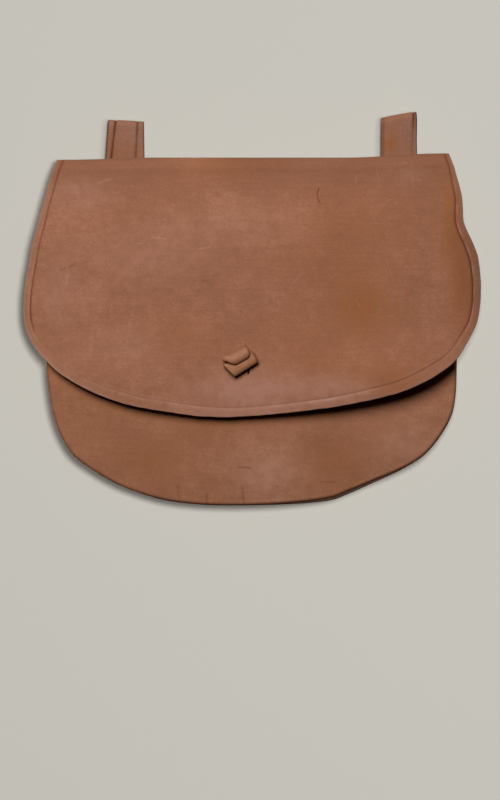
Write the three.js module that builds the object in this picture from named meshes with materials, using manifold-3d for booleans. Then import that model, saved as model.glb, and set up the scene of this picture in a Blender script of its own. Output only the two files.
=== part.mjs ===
import * as THREE from 'three';
import Module from 'manifold-3d';
import { mergeVertices } from 'three/addons/utils/BufferGeometryUtils.js';

// A leather belt bag lying on its back. Sizes are in millimetres.
// x runs across the bag, "down" is the distance below the fold, z rises from the back to the front.

const LEATHER = 2.0; // wall of the back, flap, front and gusset
const LOOP_LEATHER = 1.8; // wall of the belt loops
const SEAM_GAP = 0.5; // between two edges that are sewn together
const CONTACT_GAP = 0.3; // between two pieces that lie on each other
const FOLD_DOWN = 8; // where the round of the fold begins
const FOLD_REACH = 6.9; // how far the fold's middle layer bows up from there
const FOLD_RISE = 2.5; // the fold's right end over its middle
const FOLD_DROP = 1.3; // the fold's left end under its middle
const FOLD_HALF = 113; // from the fold's middle to its ends
const MOUTH_DOWN = 20; // top edge of the front panel
const GUSSET_DOWN = 22; // ends of the gusset
const RIM_ROUND = 2.2; // radius of the turned rims of the back and front
const RIM_INSET = LEATHER / 2 + RIM_ROUND; // from the outline to the flat of a panel
const GUSSET_TUCK = 0.6; // how far the gusset's edges lie inside the turned rims
const PEEK = { depth: 1.5, x: 52, reach: 34 }; // where the gusset shows past the front's rim
const LEVEL_REACH = 26; // the bands of a rim start square to the panel's top and turn over this far
const BODY_CORNER = 172; // where the sides of the body turn into its bottom
const FLAP_CORNER = 121; // where the sides of the flap turn into its lower edge
const FLAP_RIM = 5; // width of the creased rim of the flap
const FLAP_LIFT = 0.8; // air between the flap and the front panel
const LEFT_LIFT = 0.34; // share of the flap's stand-off on its left side
const DROOP_START = 111; // where the flap's overhanging sides start to hang down
const DROOP_END = 130;

const COLUMNS = 22; // strips of a panel from left to right
const BODY_ROWS = 15; // strips of the back and front from top to bottom
const FLAP_ROWS = 13;
const BANDS = 3; // strips that follow a rim
const FOLD_STEPS = 7;
const GUSSET_STEPS = 6;

// The body, a row for each section: outline left and right of the middle, height of the back,
// height of the front seam, and rise of the front's middle over that seam.
const BODY = [
  { down: 7, left: 111.4, right: 112.6, back: 9.9, rim: 21.4, crown: 1.0 },
  { down: 22, left: 112.8, right: 113.6, back: 9.9, rim: 23.5, crown: 2.0 },
  { down: 45, left: 114.6, right: 115.0, back: 9.9, rim: 26.5, crown: 3.5 },
  { down: 80, left: 116.2, right: 116.6, back: 5.5, rim: 28.3, crown: 5.0 },
  { down: 110, left: 117.0, right: 117.0, back: 1.0, rim: 28.5, crown: 5.8 },
  { down: 121, left: 116.9, right: 116.8, back: 1.0, rim: 28.5, crown: 6.0 },
  { down: 136, left: 115.3, right: 116.2, back: 1.0, rim: 28.4, crown: 5.8 },
  { down: 147, left: 113.2, right: 114.0, back: 1.0, rim: 28.2, crown: 5.4 },
  { down: 158.5, left: 109.2, right: 107.9, back: 1.0, rim: 28.0, crown: 4.8 },
  { down: 170, left: 102.0, right: 98.3, back: 1.0, rim: 27.8, crown: 4.0 },
  { down: 178, left: 91.5, right: 86.0, back: 1.0, rim: 27.6, crown: 3.4 },
  { down: 186, left: 78.0, right: 69.0, back: 1.0, rim: 27.3, crown: 2.6 },
  { down: 192, left: 63.0, right: 55.5, back: 1.0, rim: 27.0, crown: 1.8 },
  { down: 195.5, left: 49.0, right: 46.0, back: 1.0, rim: 26.9, crown: 1.0 },
  { down: 197.5, left: 18.0, right: -18.0, back: 1.0, rim: 26.8, crown: 0.0 },
];

// The flap, a row for each section: outline, how far its overhanging sides hang down,
// and how far its right side stands off the front. Its left side stands off by a third of that.
const FLAP = [
  { down: 7, left: 114.0, right: 115.0, droopLeft: 0.5, droopRight: 1.0, lift: 0.0 },
  { down: 25, left: 119.0, right: 119.7, droopLeft: 1.5, droopRight: 5.0, lift: 0.0 },
  { down: 38, left: 122.3, right: 120.6, droopLeft: 2.0, droopRight: 8.0, lift: 0.0 },
  { down: 47, left: 124.7, right: 124.5, droopLeft: 2.5, droopRight: 8.0, lift: 0.0 },
  { down: 58, left: 126.7, right: 128.7, droopLeft: 3.0, droopRight: 7.5, lift: 0.0 },
  { down: 80, left: 130.0, right: 130.0, droopLeft: 3.5, droopRight: 6.5, lift: 0.3 },
  { down: 95, left: 129.4, right: 127.8, droopLeft: 3.5, droopRight: 4.5, lift: 1.5 },
  { down: 106, left: 125.3, right: 122.5, droopLeft: 3.0, droopRight: 3.0, lift: 3.6 },
  { down: 116, left: 117.5, right: 116.0, droopLeft: 2.0, droopRight: 1.5, lift: 6.2 },
  { down: 124, left: 108.6, right: 105.7, droopLeft: 1.5, droopRight: 0.5, lift: 8.4 },
  { down: 133, left: 93.0, right: 87.8, droopLeft: 1.0, droopRight: 0.0, lift: 9.4 },
  { down: 140, left: 74.5, right: 60.0, droopLeft: 0.5, droopRight: 0.0, lift: 9.0 },
  { down: 145, left: 50.0, right: 27.0, droopLeft: 0.0, droopRight: 0.0, lift: 8.2 },
  { down: 148.2, left: 19.0, right: -19.0, droopLeft: 0.0, droopRight: 0.0, lift: 7.2 },
];

// Broad dents and swellings of the leather.
const FRONT_DENTS = [
  { x: 87, down: 163, reach: 20, rise: 0.9 },
  { x: 7, down: 174, reach: 19, rise: 0.9 },
  { x: -58, down: 172, reach: 24, rise: -1.4 },
  { x: 44, down: 173, reach: 18, rise: -1.2 },
];
const FLAP_DENTS = [
  { x: 66, down: 40, reach: 24, rise: 0.9 },
  { x: -70, down: 62, reach: 30, rise: 0.8 },
  { x: -4, down: 70, reach: 22, rise: 0.7 },
  { x: 84, down: 66, reach: 16, rise: 1.0 },
];

// The belt loops: middle, height over the fold at the left and right edge, width at the fold and at the
// top, sideways lean of the top, and sideways shift of the rear leg at the top.
const LOOPS = [
  { name: 'belt_loop_left', x: -72.4, topLeft: 21.8, topRight: 20.8,
    foot: 22.0, head: 20.2, lean: 0.6, twist: 0 },
  { name: 'belt_loop_right', x: 83.2, topLeft: 23.0, topRight: 26.6,
    foot: 20.6, head: 19.2, lean: -0.4, twist: 1.4 },
];
const LOOP_GAP = 5; // room for the belt between the two legs
const LOOP_FOOT = -46; // lower end of both legs, sewn together under the back
const LOOP_JOIN = -28; // where the rear leg starts to rise to the front one

// The toggle: a rolled strip, its tail laid out from under the roll and back in a flat bow beside it.
const TOGGLE_X = -5.3;
const TOGGLE_DOWN = 117.9;
const TOGGLE_TURN = Math.PI / 6;
const TOGGLE_LEAN = 0.115; // fall of the flap under the toggle, from the roll to the tail
const TOGGLE_SAG = 0.03; // fall of the flap under the toggle, towards the roll's right end
const TOGGLE_LEATHER = 1.4;
const ROLL_LENGTH = 18;
const ROLL_OFF = -1.6; // the roll's axis from the toggle's middle
const ROLL_TURNS = 1;
const ROLL_START = 0.8; // radius of the roll's first turn
const ROLL_PITCH = TOGGLE_LEATHER + 0.25;
const ROLL_RADIUS = ROLL_START + ROLL_PITCH * ROLL_TURNS; // to the middle of the last turn
const ROLL_END = -Math.PI / 2; // under the roll, where the last turn becomes the tail
const TAIL_WIDTH = 15.4;
const TAIL_SHIFT = -0.9; // the tail lies towards the roll's left end
// The tail's middle layer, a row for each section: off the toggle's middle, and up from the flap.
const TAIL = [
  { off: -2.2, up: 1.0 },
  { off: 2.4, up: 1.0 },
  { off: 5.6, up: 1.0 },
  { off: 7.1, up: 1.5 },
  { off: 7.7, up: 2.7 },
  { off: 7.0, up: 4.3 },
  { off: 5.6, up: 5.7 },
  { off: 4.1, up: 6.3 },
  { off: 2.9, up: 5.8 },
  { off: 2.4, up: 4.7 },
  { off: 2.3, up: 3.6 },
];
const STEM_X = -3.4; // where the tail goes down through the slits
const STEM_DOWN = 116.2;
const STEM_WIDTH = 6;
const STEM_THICK = 2.2;
const TAB = { width: 13, length: 16, thick: 2 }; // the tail's flat end inside the bag
const FLAP_SLIT = { length: 20, width: 3.0, down: 116.7 };
const FRONT_SLIT = { length: 7, width: 3.0, down: STEM_DOWN };

const wasm = await Module();
wasm.setup();
const { Manifold } = wasm;

const clamp = THREE.MathUtils.clamp;
const smooth = (value, low, high) => THREE.MathUtils.smoothstep(value, low, high);

function column(rows, name) {
  const downs = rows.map((row) => row.down);
  const values = rows.map((row) => row[name]);
  const curve = new THREE.CubicInterpolant(downs, values, 1);
  return (down) => curve.evaluate(down)[0];
}

const bodyLeft = column(BODY, 'left');
const bodyRight = column(BODY, 'right');
const backCurve = column(BODY, 'back');
const backHeight = (down) => Math.max(backCurve(down), LEATHER / 2);
const rimHeight = column(BODY, 'rim');
const frontCrown = column(BODY, 'crown');
const droopLeft = column(FLAP, 'droopLeft');
const droopRight = column(FLAP, 'droopRight');
const flapLift = column(FLAP, 'lift');

function dents(rows, x, down) {
  let rise = 0;
  for (const dent of rows) {
    const away = Math.hypot(x - dent.x, down - dent.down) / dent.reach;
    rise += dent.rise * Math.exp(-away * away);
  }
  return rise;
}

// Height of the front panel's middle layer, carried on smoothly past its rim.
function frontHeight(x, down) {
  const half = Math.max((bodyLeft(down) + bodyRight(down)) / 2, 4);
  const middle = (bodyRight(down) - bodyLeft(down)) / 2;
  const across = Math.abs(x - middle) / half;
  return rimHeight(down) + frontCrown(down) * (1 - across ** 2.4) + dents(FRONT_DENTS, x, down);
}

function flapHeight(x, down) {
  const over = Math.max(Math.abs(x) - DROOP_START, 0) / (DROOP_END - DROOP_START);
  const droop = (x < 0 ? droopLeft(down) : droopRight(down)) * over * over;
  const lift = flapLift(down) * (LEFT_LIFT + (1 - LEFT_LIFT) * smooth(x, -25, 105));
  const base = frontHeight(x, down) - dents(FRONT_DENTS, x, down);
  return base + LEATHER + FLAP_LIFT + lift - droop + dents(FLAP_DENTS, x, down);
}

// A point of the bag, with the slight rise and drop of its fold's ends.
function spot(x, down, z) {
  const side = x / FOLD_HALF;
  const ends = FOLD_RISE * smooth(side, 0.5, 1) - FOLD_DROP * smooth(-side, 0.5, 1);
  return new THREE.Vector3(x, ends * (1 - smooth(down, 0, 70)) - down, z);
}

// The outline of a table as evenly spaced points, down its left side, round and up its right side.
function outline(rows) {
  const left = rows.map((row) => new THREE.Vector3(-row.left, -row.down, 0));
  const right = rows.slice(0, -1).map((row) => new THREE.Vector3(row.right, -row.down, 0));
  const curve = new THREE.CatmullRomCurve3([...left, ...right.reverse()], false, 'centripetal');
  curve.arcLengthDivisions = 2000;
  return curve.getSpacedPoints(4000);
}

// How far the front's rim is drawn in, so that the gusset shows low on the right.
function frontTuck(x, down) {
  const away = (x - PEEK.x) / PEEK.reach;
  return PEEK.depth * Math.exp(-away * away) * smooth(down, 160, 185);
}

// Places along an outline, each with the direction that points out of the panel.
function rimStations(points, top, corner, rows, tuck = () => 0) {
  const start = points.findIndex((p) => -p.y >= top);
  const turn = points.findIndex((p) => -p.y >= corner);
  const turnBack = points.findLastIndex((p) => -p.y >= corner);
  const end = points.findLastIndex((p) => -p.y >= top);
  const marks = [];
  for (let i = 0; i < rows; i += 1) marks.push(start + ((turn - start) * i) / rows);
  for (let i = 0; i < COLUMNS; i += 1) marks.push(turn + ((turnBack - turn) * i) / COLUMNS);
  for (let i = 0; i <= rows; i += 1) marks.push(turnBack + ((end - turnBack) * i) / rows);
  return marks.map((mark) => {
    const i = clamp(Math.round(mark), 4, points.length - 5);
    const along = points[i + 4].clone().sub(points[i - 4]).normalize();
    const station = { x: points[i].x, down: -points[i].y };
    const level = 1 - smooth(station.down, top, top + LEVEL_REACH);
    const out = new THREE.Vector2(along.y, along.x);
    out.lerp(new THREE.Vector2(Math.sign(station.x), 0), level).normalize();
    station.outX = out.x;
    station.outDown = out.y;
    const drawn = tuck(station.x, station.down);
    station.x -= station.outX * drawn;
    station.down -= station.outDown * drawn;
    return station;
  });
}

// A panel's net: rows and columns inside its rim, then bands that follow the rim.
function panelNet(stations, rows, inset) {
  const rim = stations.map((s) => [s.x - s.outX * inset, s.down - s.outDown * inset]);
  const last = stations.length - 1;
  const left = (i) => rim[i];
  const right = (i) => rim[last - i];
  const low = (j) => rim[rows + j];
  const inner = [];
  for (let i = 0; i <= rows; i += 1) {
    const v = i / rows;
    for (let j = 0; j <= COLUMNS; j += 1) {
      const u = j / COLUMNS;
      const blend = (k) => {
        const sides = (1 - u) * left(i)[k] + u * right(i)[k];
        const top = (1 - u) * left(0)[k] + u * right(0)[k];
        const ends = (1 - v) * top + v * low(j)[k];
        const corners = (1 - v) * top + v * ((1 - u) * low(0)[k] + u * low(COLUMNS)[k]);
        return sides + ends - corners;
      };
      inner.push({ x: blend(0), down: blend(1), band: 0 });
    }
  }
  const cell = (i, j) => i * (COLUMNS + 1) + j;
  const edge = stations.map((s, n) => {
    if (n <= rows) return cell(n, 0);
    if (n <= rows + COLUMNS) return cell(rows, n - rows);
    return cell(last - n, COLUMNS);
  });
  const points = [...inner];
  const ladder = [edge];
  for (let band = 1; band <= BANDS; band += 1) {
    ladder.push(stations.map((s, n) => {
      points.push({ x: rim[n][0], down: rim[n][1], band: band / BANDS, station: s });
      return points.length - 1;
    }));
  }
  const quads = [];
  for (let i = 0; i < rows; i += 1) {
    for (let j = 0; j < COLUMNS; j += 1) {
      quads.push([cell(i, j), cell(i + 1, j), cell(i + 1, j + 1), cell(i, j + 1)]);
    }
  }
  for (let band = 0; band < BANDS; band += 1) {
    for (let n = 0; n < last; n += 1) {
      quads.push([ladder[band][n], ladder[band + 1][n], ladder[band + 1][n + 1], ladder[band][n + 1]]);
    }
  }
  const top = [];
  for (let band = BANDS; band > 0; band -= 1) top.push(ladder[band][0]);
  for (let j = 0; j <= COLUMNS; j += 1) top.push(cell(0, j));
  for (let band = 1; band <= BANDS; band += 1) top.push(ladder[band][last]);
  return { points, quads, top };
}

// A rim rolled through an angle: how far out and how far over a band lies.
function rolled(band, angle) {
  const turn = Math.max(angle, 0.001);
  const radius = (RIM_ROUND * Math.PI) / 2 / turn;
  return { out: radius * Math.sin(turn * band), over: radius * (1 - Math.cos(turn * band)) };
}

// A wall of leather from its middle layer.
function wall(points, quads, thickness) {
  const normals = points.map(() => new THREE.Vector3());
  for (const [a, b, c, d] of quads) {
    const one = points[c].clone().sub(points[a]);
    const two = points[d].clone().sub(points[b]);
    const face = one.cross(two);
    for (const corner of [a, b, c, d]) normals[corner].add(face);
  }
  const count = points.length;
  const positions = [];
  for (const side of [0.5, -0.5]) {
    points.forEach((point, n) => {
      const moved = point.clone().addScaledVector(normals[n].normalize(), side * thickness);
      positions.push(moved.x, moved.y, moved.z);
    });
  }
  const index = [];
  const addQuad = (a, b, c, d, short) => {
    if (short) index.push(a, b, c, a, c, d);
    else index.push(a, b, d, b, c, d);
  };
  const used = new Set();
  for (const [a, b, c, d] of quads) {
    const short = points[a].distanceTo(points[c]) <= points[b].distanceTo(points[d]);
    addQuad(a, b, c, d, short);
    addQuad(count + d, count + c, count + b, count + a, !short);
    for (const [from, to] of [[a, b], [b, c], [c, d], [d, a]]) used.add(`${from},${to}`);
  }
  for (const [a, b, c, d] of quads) {
    for (const [from, to] of [[a, b], [b, c], [c, d], [d, a]]) {
      if (!used.has(`${to},${from}`)) addQuad(to, from, count + from, count + to, true);
    }
  }
  const geometry = new THREE.BufferGeometry();
  geometry.setAttribute('position', new THREE.Float32BufferAttribute(positions, 3));
  geometry.setIndex(index);
  return geometry;
}

// A long strip from stations that each hold one row of points across.
function strip(rows) {
  const points = rows.flat();
  const width = rows[0].length;
  const quads = [];
  for (let i = 0; i + 1 < rows.length; i += 1) {
    for (let j = 0; j + 1 < width; j += 1) {
      const a = i * width + j;
      quads.push([a, a + 1, a + width + 1, a + width]);
    }
  }
  return { points, quads };
}

function solid(geometry) {
  const bare = new THREE.BufferGeometry();
  bare.setAttribute('position', geometry.getAttribute('position').clone());
  if (geometry.index) bare.setIndex(geometry.index.clone());
  const merged = mergeVertices(bare, 1e-4);
  const vertProperties = new Float32Array(merged.getAttribute('position').array);
  const triVerts = new Uint32Array(merged.index.array);
  return new Manifold(new wasm.Mesh({ numProp: 3, vertProperties, triVerts }));
}

function surface(body) {
  const mesh = body.getMesh();
  const geometry = new THREE.BufferGeometry();
  geometry.setAttribute('position', new THREE.Float32BufferAttribute(mesh.vertProperties, 3));
  geometry.setIndex(new THREE.Uint32BufferAttribute(mesh.triVerts, 1));
  return geometry;
}

// A cutter with round ends, upright through the leather at the toggle.
function slitCutter(slit) {
  const shape = new THREE.Shape();
  const radius = slit.width / 2;
  const straight = slit.length / 2 - radius;
  shape.absarc(0, straight, radius, 0, Math.PI, false);
  shape.absarc(0, -straight, radius, Math.PI, 2 * Math.PI, false);
  shape.closePath();
  const geometry = new THREE.ExtrudeGeometry(shape, { depth: 14, bevelEnabled: false, curveSegments: 5 });
  geometry.translate(STEM_X, -slit.down, frontHeight(STEM_X, slit.down) + LEATHER / 2 - 7);
  return solid(geometry);
}

function backAndFlap() {
  const backRim = rimStations(outline(BODY), FOLD_DOWN, BODY_CORNER, BODY_ROWS);
  const backNet = panelNet(backRim, BODY_ROWS, RIM_INSET);
  const flapRim = rimStations(outline(FLAP), FOLD_DOWN, FLAP_CORNER, FLAP_ROWS);
  const flapNet = panelNet(flapRim, FLAP_ROWS, FLAP_RIM);
  const back = backNet.points.map((p) => {
    const z = backHeight(p.down);
    if (!p.band) return spot(p.x, p.down, z);
    const { out, over } = rolled(p.band, (Math.PI / 2) * smooth(p.station.down, FOLD_DOWN, GUSSET_DOWN));
    return spot(p.x + p.station.outX * out, p.down + p.station.outDown * out, z + over);
  });
  const flap = flapNet.points.map((p) => {
    const out = p.band * FLAP_RIM;
    const x = p.band ? p.x + p.station.outX * out : p.x;
    const down = p.band ? p.down + p.station.outDown * out : p.down;
    return spot(x, down, flapHeight(x, down) - 0.4 * p.band ** 3);
  });
  const points = [...back, ...flap];
  const shift = back.length;
  const quads = backNet.quads.map(([a, b, c, d]) => [d, c, b, a]);
  for (const quad of flapNet.quads) quads.push(quad.map((n) => n + shift));
  let before = backNet.top;
  for (let step = 1; step <= FOLD_STEPS; step += 1) {
    const angle = (Math.PI * step) / FOLD_STEPS;
    const part = (1 - Math.cos(angle)) / 2;
    const row = flapNet.top.map((n, k) => {
      if (step === FOLD_STEPS) return n + shift;
      const from = back[backNet.top[k]];
      const to = flap[n];
      const point = from.clone().lerp(to, part);
      point.x = THREE.MathUtils.lerp(from.x, to.x, step * 2 > FOLD_STEPS ? 1 - Math.sin(angle) : 0);
      point.y += FOLD_REACH * Math.sin(angle);
      points.push(point);
      return points.length - 1;
    });
    for (let k = 0; k + 1 < row.length; k += 1) quads.push([before[k], row[k], row[k + 1], before[k + 1]]);
    before = row;
  }
  const body = solid(wall(points, quads, LEATHER));
  return surface(body.subtract(slitCutter(FLAP_SLIT)));
}

function frontPanel() {
  const stations = rimStations(outline(BODY), MOUTH_DOWN, BODY_CORNER, BODY_ROWS, frontTuck);
  const net = panelNet(stations, BODY_ROWS, RIM_INSET);
  const points = net.points.map((p) => {
    const z = frontHeight(p.x, p.down);
    if (!p.band) return spot(p.x, p.down, z);
    const { out, over } = rolled(p.band, Math.PI / 2);
    return spot(p.x + p.station.outX * out, p.down + p.station.outDown * out, z - over);
  });
  const body = solid(wall(points, net.quads, LEATHER));
  return surface(body.subtract(slitCutter(FRONT_SLIT)));
}

function gusset() {
  const stations = rimStations(outline(BODY), GUSSET_DOWN, BODY_CORNER, BODY_ROWS);
  const rows = stations.map((s) => {
    const drawn = frontTuck(s.x, s.down);
    const flatX = s.x - s.outX * (RIM_INSET + drawn);
    const flatDown = s.down - s.outDown * (RIM_INSET + drawn);
    const low = backHeight(s.down - s.outDown * RIM_INSET) + RIM_ROUND + SEAM_GAP;
    const high = frontHeight(flatX, flatDown) - RIM_ROUND - SEAM_GAP;
    const row = [];
    for (let step = 0; step <= GUSSET_STEPS; step += 1) {
      const part = step / GUSSET_STEPS;
      const tucked = GUSSET_TUCK * (1 - Math.sin(Math.PI * part)) + drawn * smooth(part, 0.35, 1);
      const inset = LEATHER / 2 + tucked;
      row.push(spot(s.x - s.outX * inset, s.down - s.outDown * inset, THREE.MathUtils.lerp(low, high, part)));
    }
    return row;
  });
  const { points, quads } = strip(rows);
  return wall(points, quads, LEATHER);
}

function beltLoop(loop) {
  const rear = LOOP_LEATHER / 2;
  const front = rear + LOOP_LEATHER + LOOP_GAP;
  const join = front - LOOP_LEATHER - CONTACT_GAP;
  const round = (front - rear) / 2;
  const mean = (loop.topLeft + loop.topRight) / 2 - LOOP_LEATHER / 2;
  const path = [];
  const turn = mean - round;
  for (let i = 0; i <= 6; i += 1) {
    path.push({ y: THREE.MathUtils.lerp(LOOP_FOOT, turn, i / 6), z: front, rear: 0 });
  }
  for (let i = 1; i < 8; i += 1) {
    const angle = (Math.PI * i) / 8;
    const y = turn + round * Math.sin(angle);
    path.push({ y, z: rear + round + round * Math.cos(angle), rear: i / 8 });
  }
  for (let i = 0; i <= 5; i += 1) {
    path.push({ y: THREE.MathUtils.lerp(turn, LOOP_JOIN, i / 5), z: rear, rear: 1 });
  }
  for (let i = 1; i <= 5; i += 1) {
    const y = THREE.MathUtils.lerp(LOOP_JOIN, LOOP_FOOT, i / 5);
    path.push({ y, z: THREE.MathUtils.lerp(rear, join, smooth(i / 5, 0, 0.85)), rear: 1 });
  }
  const rows = path.map((p) => {
    const rise = clamp(p.y / mean, 0, 1);
    const half = THREE.MathUtils.lerp(loop.foot, loop.head, rise) / 2;
    const middle = loop.x + loop.lean * rise + loop.twist * p.rear * smooth(rise, 0, 1);
    return [-1, -0.33, 0.33, 1].map((side) => {
      const skew = ((loop.topRight - loop.topLeft) / 2) * side * rise;
      return new THREE.Vector3(middle + side * half, p.y + skew, p.z);
    });
  });
  const { points, quads } = strip(rows);
  return wall(points, quads, LOOP_LEATHER);
}

function toggle() {
  const across = (middle, width, y, z) => [
    new THREE.Vector3(middle - width / 2, y, z),
    new THREE.Vector3(middle + width / 2, y, z),
  ];
  const top = flapHeight(TOGGLE_X, TOGGLE_DOWN) + LEATHER / 2;
  const centre = CONTACT_GAP + ROLL_RADIUS + TOGGLE_LEATHER / 2;
  const rollRows = [];
  const steps = 24;
  for (let i = 0; i <= steps; i += 1) {
    const turn = (ROLL_TURNS * i) / steps;
    const angle = 2 * Math.PI * (turn - ROLL_TURNS) + ROLL_END;
    const radius = ROLL_START + ROLL_PITCH * turn;
    const off = ROLL_OFF + radius * Math.cos(angle);
    rollRows.push(across(0, ROLL_LENGTH, off, centre + radius * Math.sin(angle)));
  }
  const rolledStrip = strip(rollRows);
  const roll = solid(wall(rolledStrip.points, rolledStrip.quads, TOGGLE_LEATHER));
  const tailStrip = strip(TAIL.map((row) => across(TAIL_SHIFT, TAIL_WIDTH, row.off, row.up)));
  const tail = solid(wall(tailStrip.points, tailStrip.quads, TOGGLE_LEATHER));
  const set = new THREE.Euler(-TOGGLE_LEAN, TOGGLE_SAG, TOGGLE_TURN, 'ZXY');
  const place = new THREE.Matrix4().makeRotationFromEuler(set).setPosition(TOGGLE_X, -TOGGLE_DOWN, top);
  const barrel = Manifold.union([roll, tail]).transform(place.elements);

  const tabTop = frontHeight(STEM_X, STEM_DOWN) - LEATHER / 2 - CONTACT_GAP - 0.2;
  const stemTop = top + CONTACT_GAP + TOGGLE_LEATHER * 0.7;
  const stemBox = new THREE.BoxGeometry(STEM_THICK, STEM_WIDTH, stemTop - tabTop + TAB.thick);
  stemBox.translate(STEM_X, -STEM_DOWN, (stemTop + tabTop - TAB.thick) / 2);
  const tabBox = new THREE.BoxGeometry(TAB.width, TAB.length, TAB.thick);
  tabBox.translate(STEM_X, -STEM_DOWN, tabTop - TAB.thick / 2);
  return surface(Manifold.union([barrel, solid(stemBox), solid(tabBox)]));
}

function leather(color, roughness) {
  return new THREE.MeshStandardMaterial({ color, roughness, metalness: 0 });
}

const bag = new THREE.Group();
bag.name = 'belt_bag';

function addPiece(name, geometry, material) {
  const mesh = new THREE.Mesh(geometry, material);
  mesh.name = name;
  bag.add(mesh);
}

addPiece('back_and_flap', backAndFlap(), leather(0x966650, 0.72));
addPiece('front_panel', frontPanel(), leather(0x8e5f47, 0.74));
addPiece('gusset', gusset(), leather(0x86573f, 0.76));
for (const loop of LOOPS) addPiece(loop.name, beltLoop(loop), leather(0x8d604b, 0.74));
addPiece('toggle', toggle(), leather(0x9a6a53, 0.7));

// The part's origin is under the middle of the whole bag, on the ground.
const size = new THREE.Box3().setFromObject(bag);
const middle = size.getCenter(new THREE.Vector3());
bag.position.set(-middle.x, -middle.y, -size.min.z);

export default bag;
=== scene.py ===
import math

import bpy
import numpy as np
from mathutils import Matrix


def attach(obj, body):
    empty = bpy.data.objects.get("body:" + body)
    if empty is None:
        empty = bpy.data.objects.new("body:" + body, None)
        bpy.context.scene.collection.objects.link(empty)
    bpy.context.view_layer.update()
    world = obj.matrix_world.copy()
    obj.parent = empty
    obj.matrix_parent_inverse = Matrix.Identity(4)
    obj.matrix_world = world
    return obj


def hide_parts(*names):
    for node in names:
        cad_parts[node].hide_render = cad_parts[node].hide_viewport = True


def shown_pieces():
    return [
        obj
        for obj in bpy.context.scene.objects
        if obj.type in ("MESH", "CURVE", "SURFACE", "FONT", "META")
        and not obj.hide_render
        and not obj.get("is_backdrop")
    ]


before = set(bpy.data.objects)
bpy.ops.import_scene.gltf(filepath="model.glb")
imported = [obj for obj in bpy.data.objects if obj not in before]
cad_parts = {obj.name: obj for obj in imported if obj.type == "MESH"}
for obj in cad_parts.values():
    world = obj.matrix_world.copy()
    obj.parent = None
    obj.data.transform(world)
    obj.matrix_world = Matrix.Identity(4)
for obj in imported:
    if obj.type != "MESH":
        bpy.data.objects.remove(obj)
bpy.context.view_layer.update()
print("frame loaded with", len(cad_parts), "solids")

scene = bpy.context.scene
scene.view_settings.view_transform = "Standard"  # a plain product shot, no film curve
mm = 0.001

# The bag as it was drawn: x across, "down" below the fold, z up from the ground. All in millimetres.
bag = dict(
    foldY=86.7002,  # where the fold's top lies on the part's Y axis
    leather=2.0,
    softened=0.4, softSteps=3, sharpFrom=math.radians(50),  # how the cut edges are rounded
    foldDown=8.0, foldReach=6.9, foldHalf=113.0,
    foldRise=2.5, foldDrop=1.3,  # the fold's right end over its middle, and its left end under it
    foldEnds=0.5, foldFade=70.0,  # share of its half where the ends begin, and how far down they are felt
    mouthDown=20.0, gussetDown=22.0, bodyCorner=172.0,
    crownRound=2.4, leastHalf=4.0,  # power of the front's swell across, and its least half width
    rimRound=1.5, seamGap=0.5,
    gussetTuck=0.6,  # how far the gusset's edges lie inside the turned rims
    peekDepth=1.5, peekX=52.0, peekReach=34.0,  # where the gusset shows past the front's rim
    peekDown=(160.0, 185.0),
    squareDown=26.0,  # the rim's bands start square to the fold and follow the edge after this length
    rows=64, columns=128, bands=11,
)
rimInset = bag["leather"] / 2 + bag["rimRound"]

bodyShape = dict(
    down=[7, 22, 45, 80, 110, 121, 136, 147, 158.5, 170, 178, 186, 192, 196, 198.6],
    left=[111.4, 112.8, 114.6, 116.2, 117, 116.9, 115.3, 113.2, 109.2, 102, 91.5, 78, 63, 48, 20],
    right=[112.6, 113.6, 115, 116.6, 117, 116.8, 116.2, 114, 107.9, 98.3, 86, 69, 55.5, 44, -20],
    back=[9.9, 9.9, 9.9, 5.5, 1.0, 1.0, 1.0, 1.0, 1.0, 1.0, 1.0, 1.0, 1.0, 1.0, 1.0],
    rim=[21.4, 23.5, 26.5, 28.3, 28.5, 28.5, 28.4, 28.2, 28, 27.8, 27.6, 27.3, 27, 26.9, 26.8],
    crown=[1.0, 2.0, 3.5, 5.0, 5.8, 6.0, 5.8, 5.4, 4.8, 4.0, 3.4, 2.6, 1.8, 1.0, 0.0],
)


def smoothStep(value, low, high):
    part = np.clip((np.asarray(value, float) - low) / (high - low), 0, 1)
    return part * part * (3 - 2 * part)


def bell(value, centre, width):
    return np.exp(-(((value - centre) / width) ** 2))


# A cubic from one knot to the next, with the slopes over the whole step.
def cubicBetween(t, start, startSlope, end, endSlope):
    near = (2 * t**3 - 3 * t**2 + 1) * start + (t**3 - 2 * t**2 + t) * startSlope
    return near + (3 * t**2 - 2 * t**3) * end + (t**3 - t**2) * endSlope


# A smooth curve through one column of a shape. Its first column says where the rows lie.
def columnAt(shape, name, at):
    rowsAt = np.array(next(iter(shape.values())), float)
    values = np.array(shape[name], float)
    slopes = np.gradient(values, rowsAt)
    slopes[1:-1] = (values[2:] - values[:-2]) / (rowsAt[2:] - rowsAt[:-2])
    at = np.clip(np.asarray(at, float), rowsAt[0], rowsAt[-1])
    i = np.clip(np.searchsorted(rowsAt, at, side="right") - 1, 0, len(rowsAt) - 2)
    span = rowsAt[i + 1] - rowsAt[i]
    t = (at - rowsAt[i]) / span
    return cubicBetween(t, values[i], span * slopes[i], values[i + 1], span * slopes[i + 1])


# Broad swellings and dents of the leather, each with its own reach across and down.
def dentsAt(dents, x, down):
    rise = np.zeros_like(np.asarray(x, float) + np.asarray(down, float))
    for dentX, dentDown, across, along, height in dents:
        rise += height * np.exp(-(((x - dentX) / across) ** 2) - ((down - dentDown) / along) ** 2)
    return rise


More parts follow.
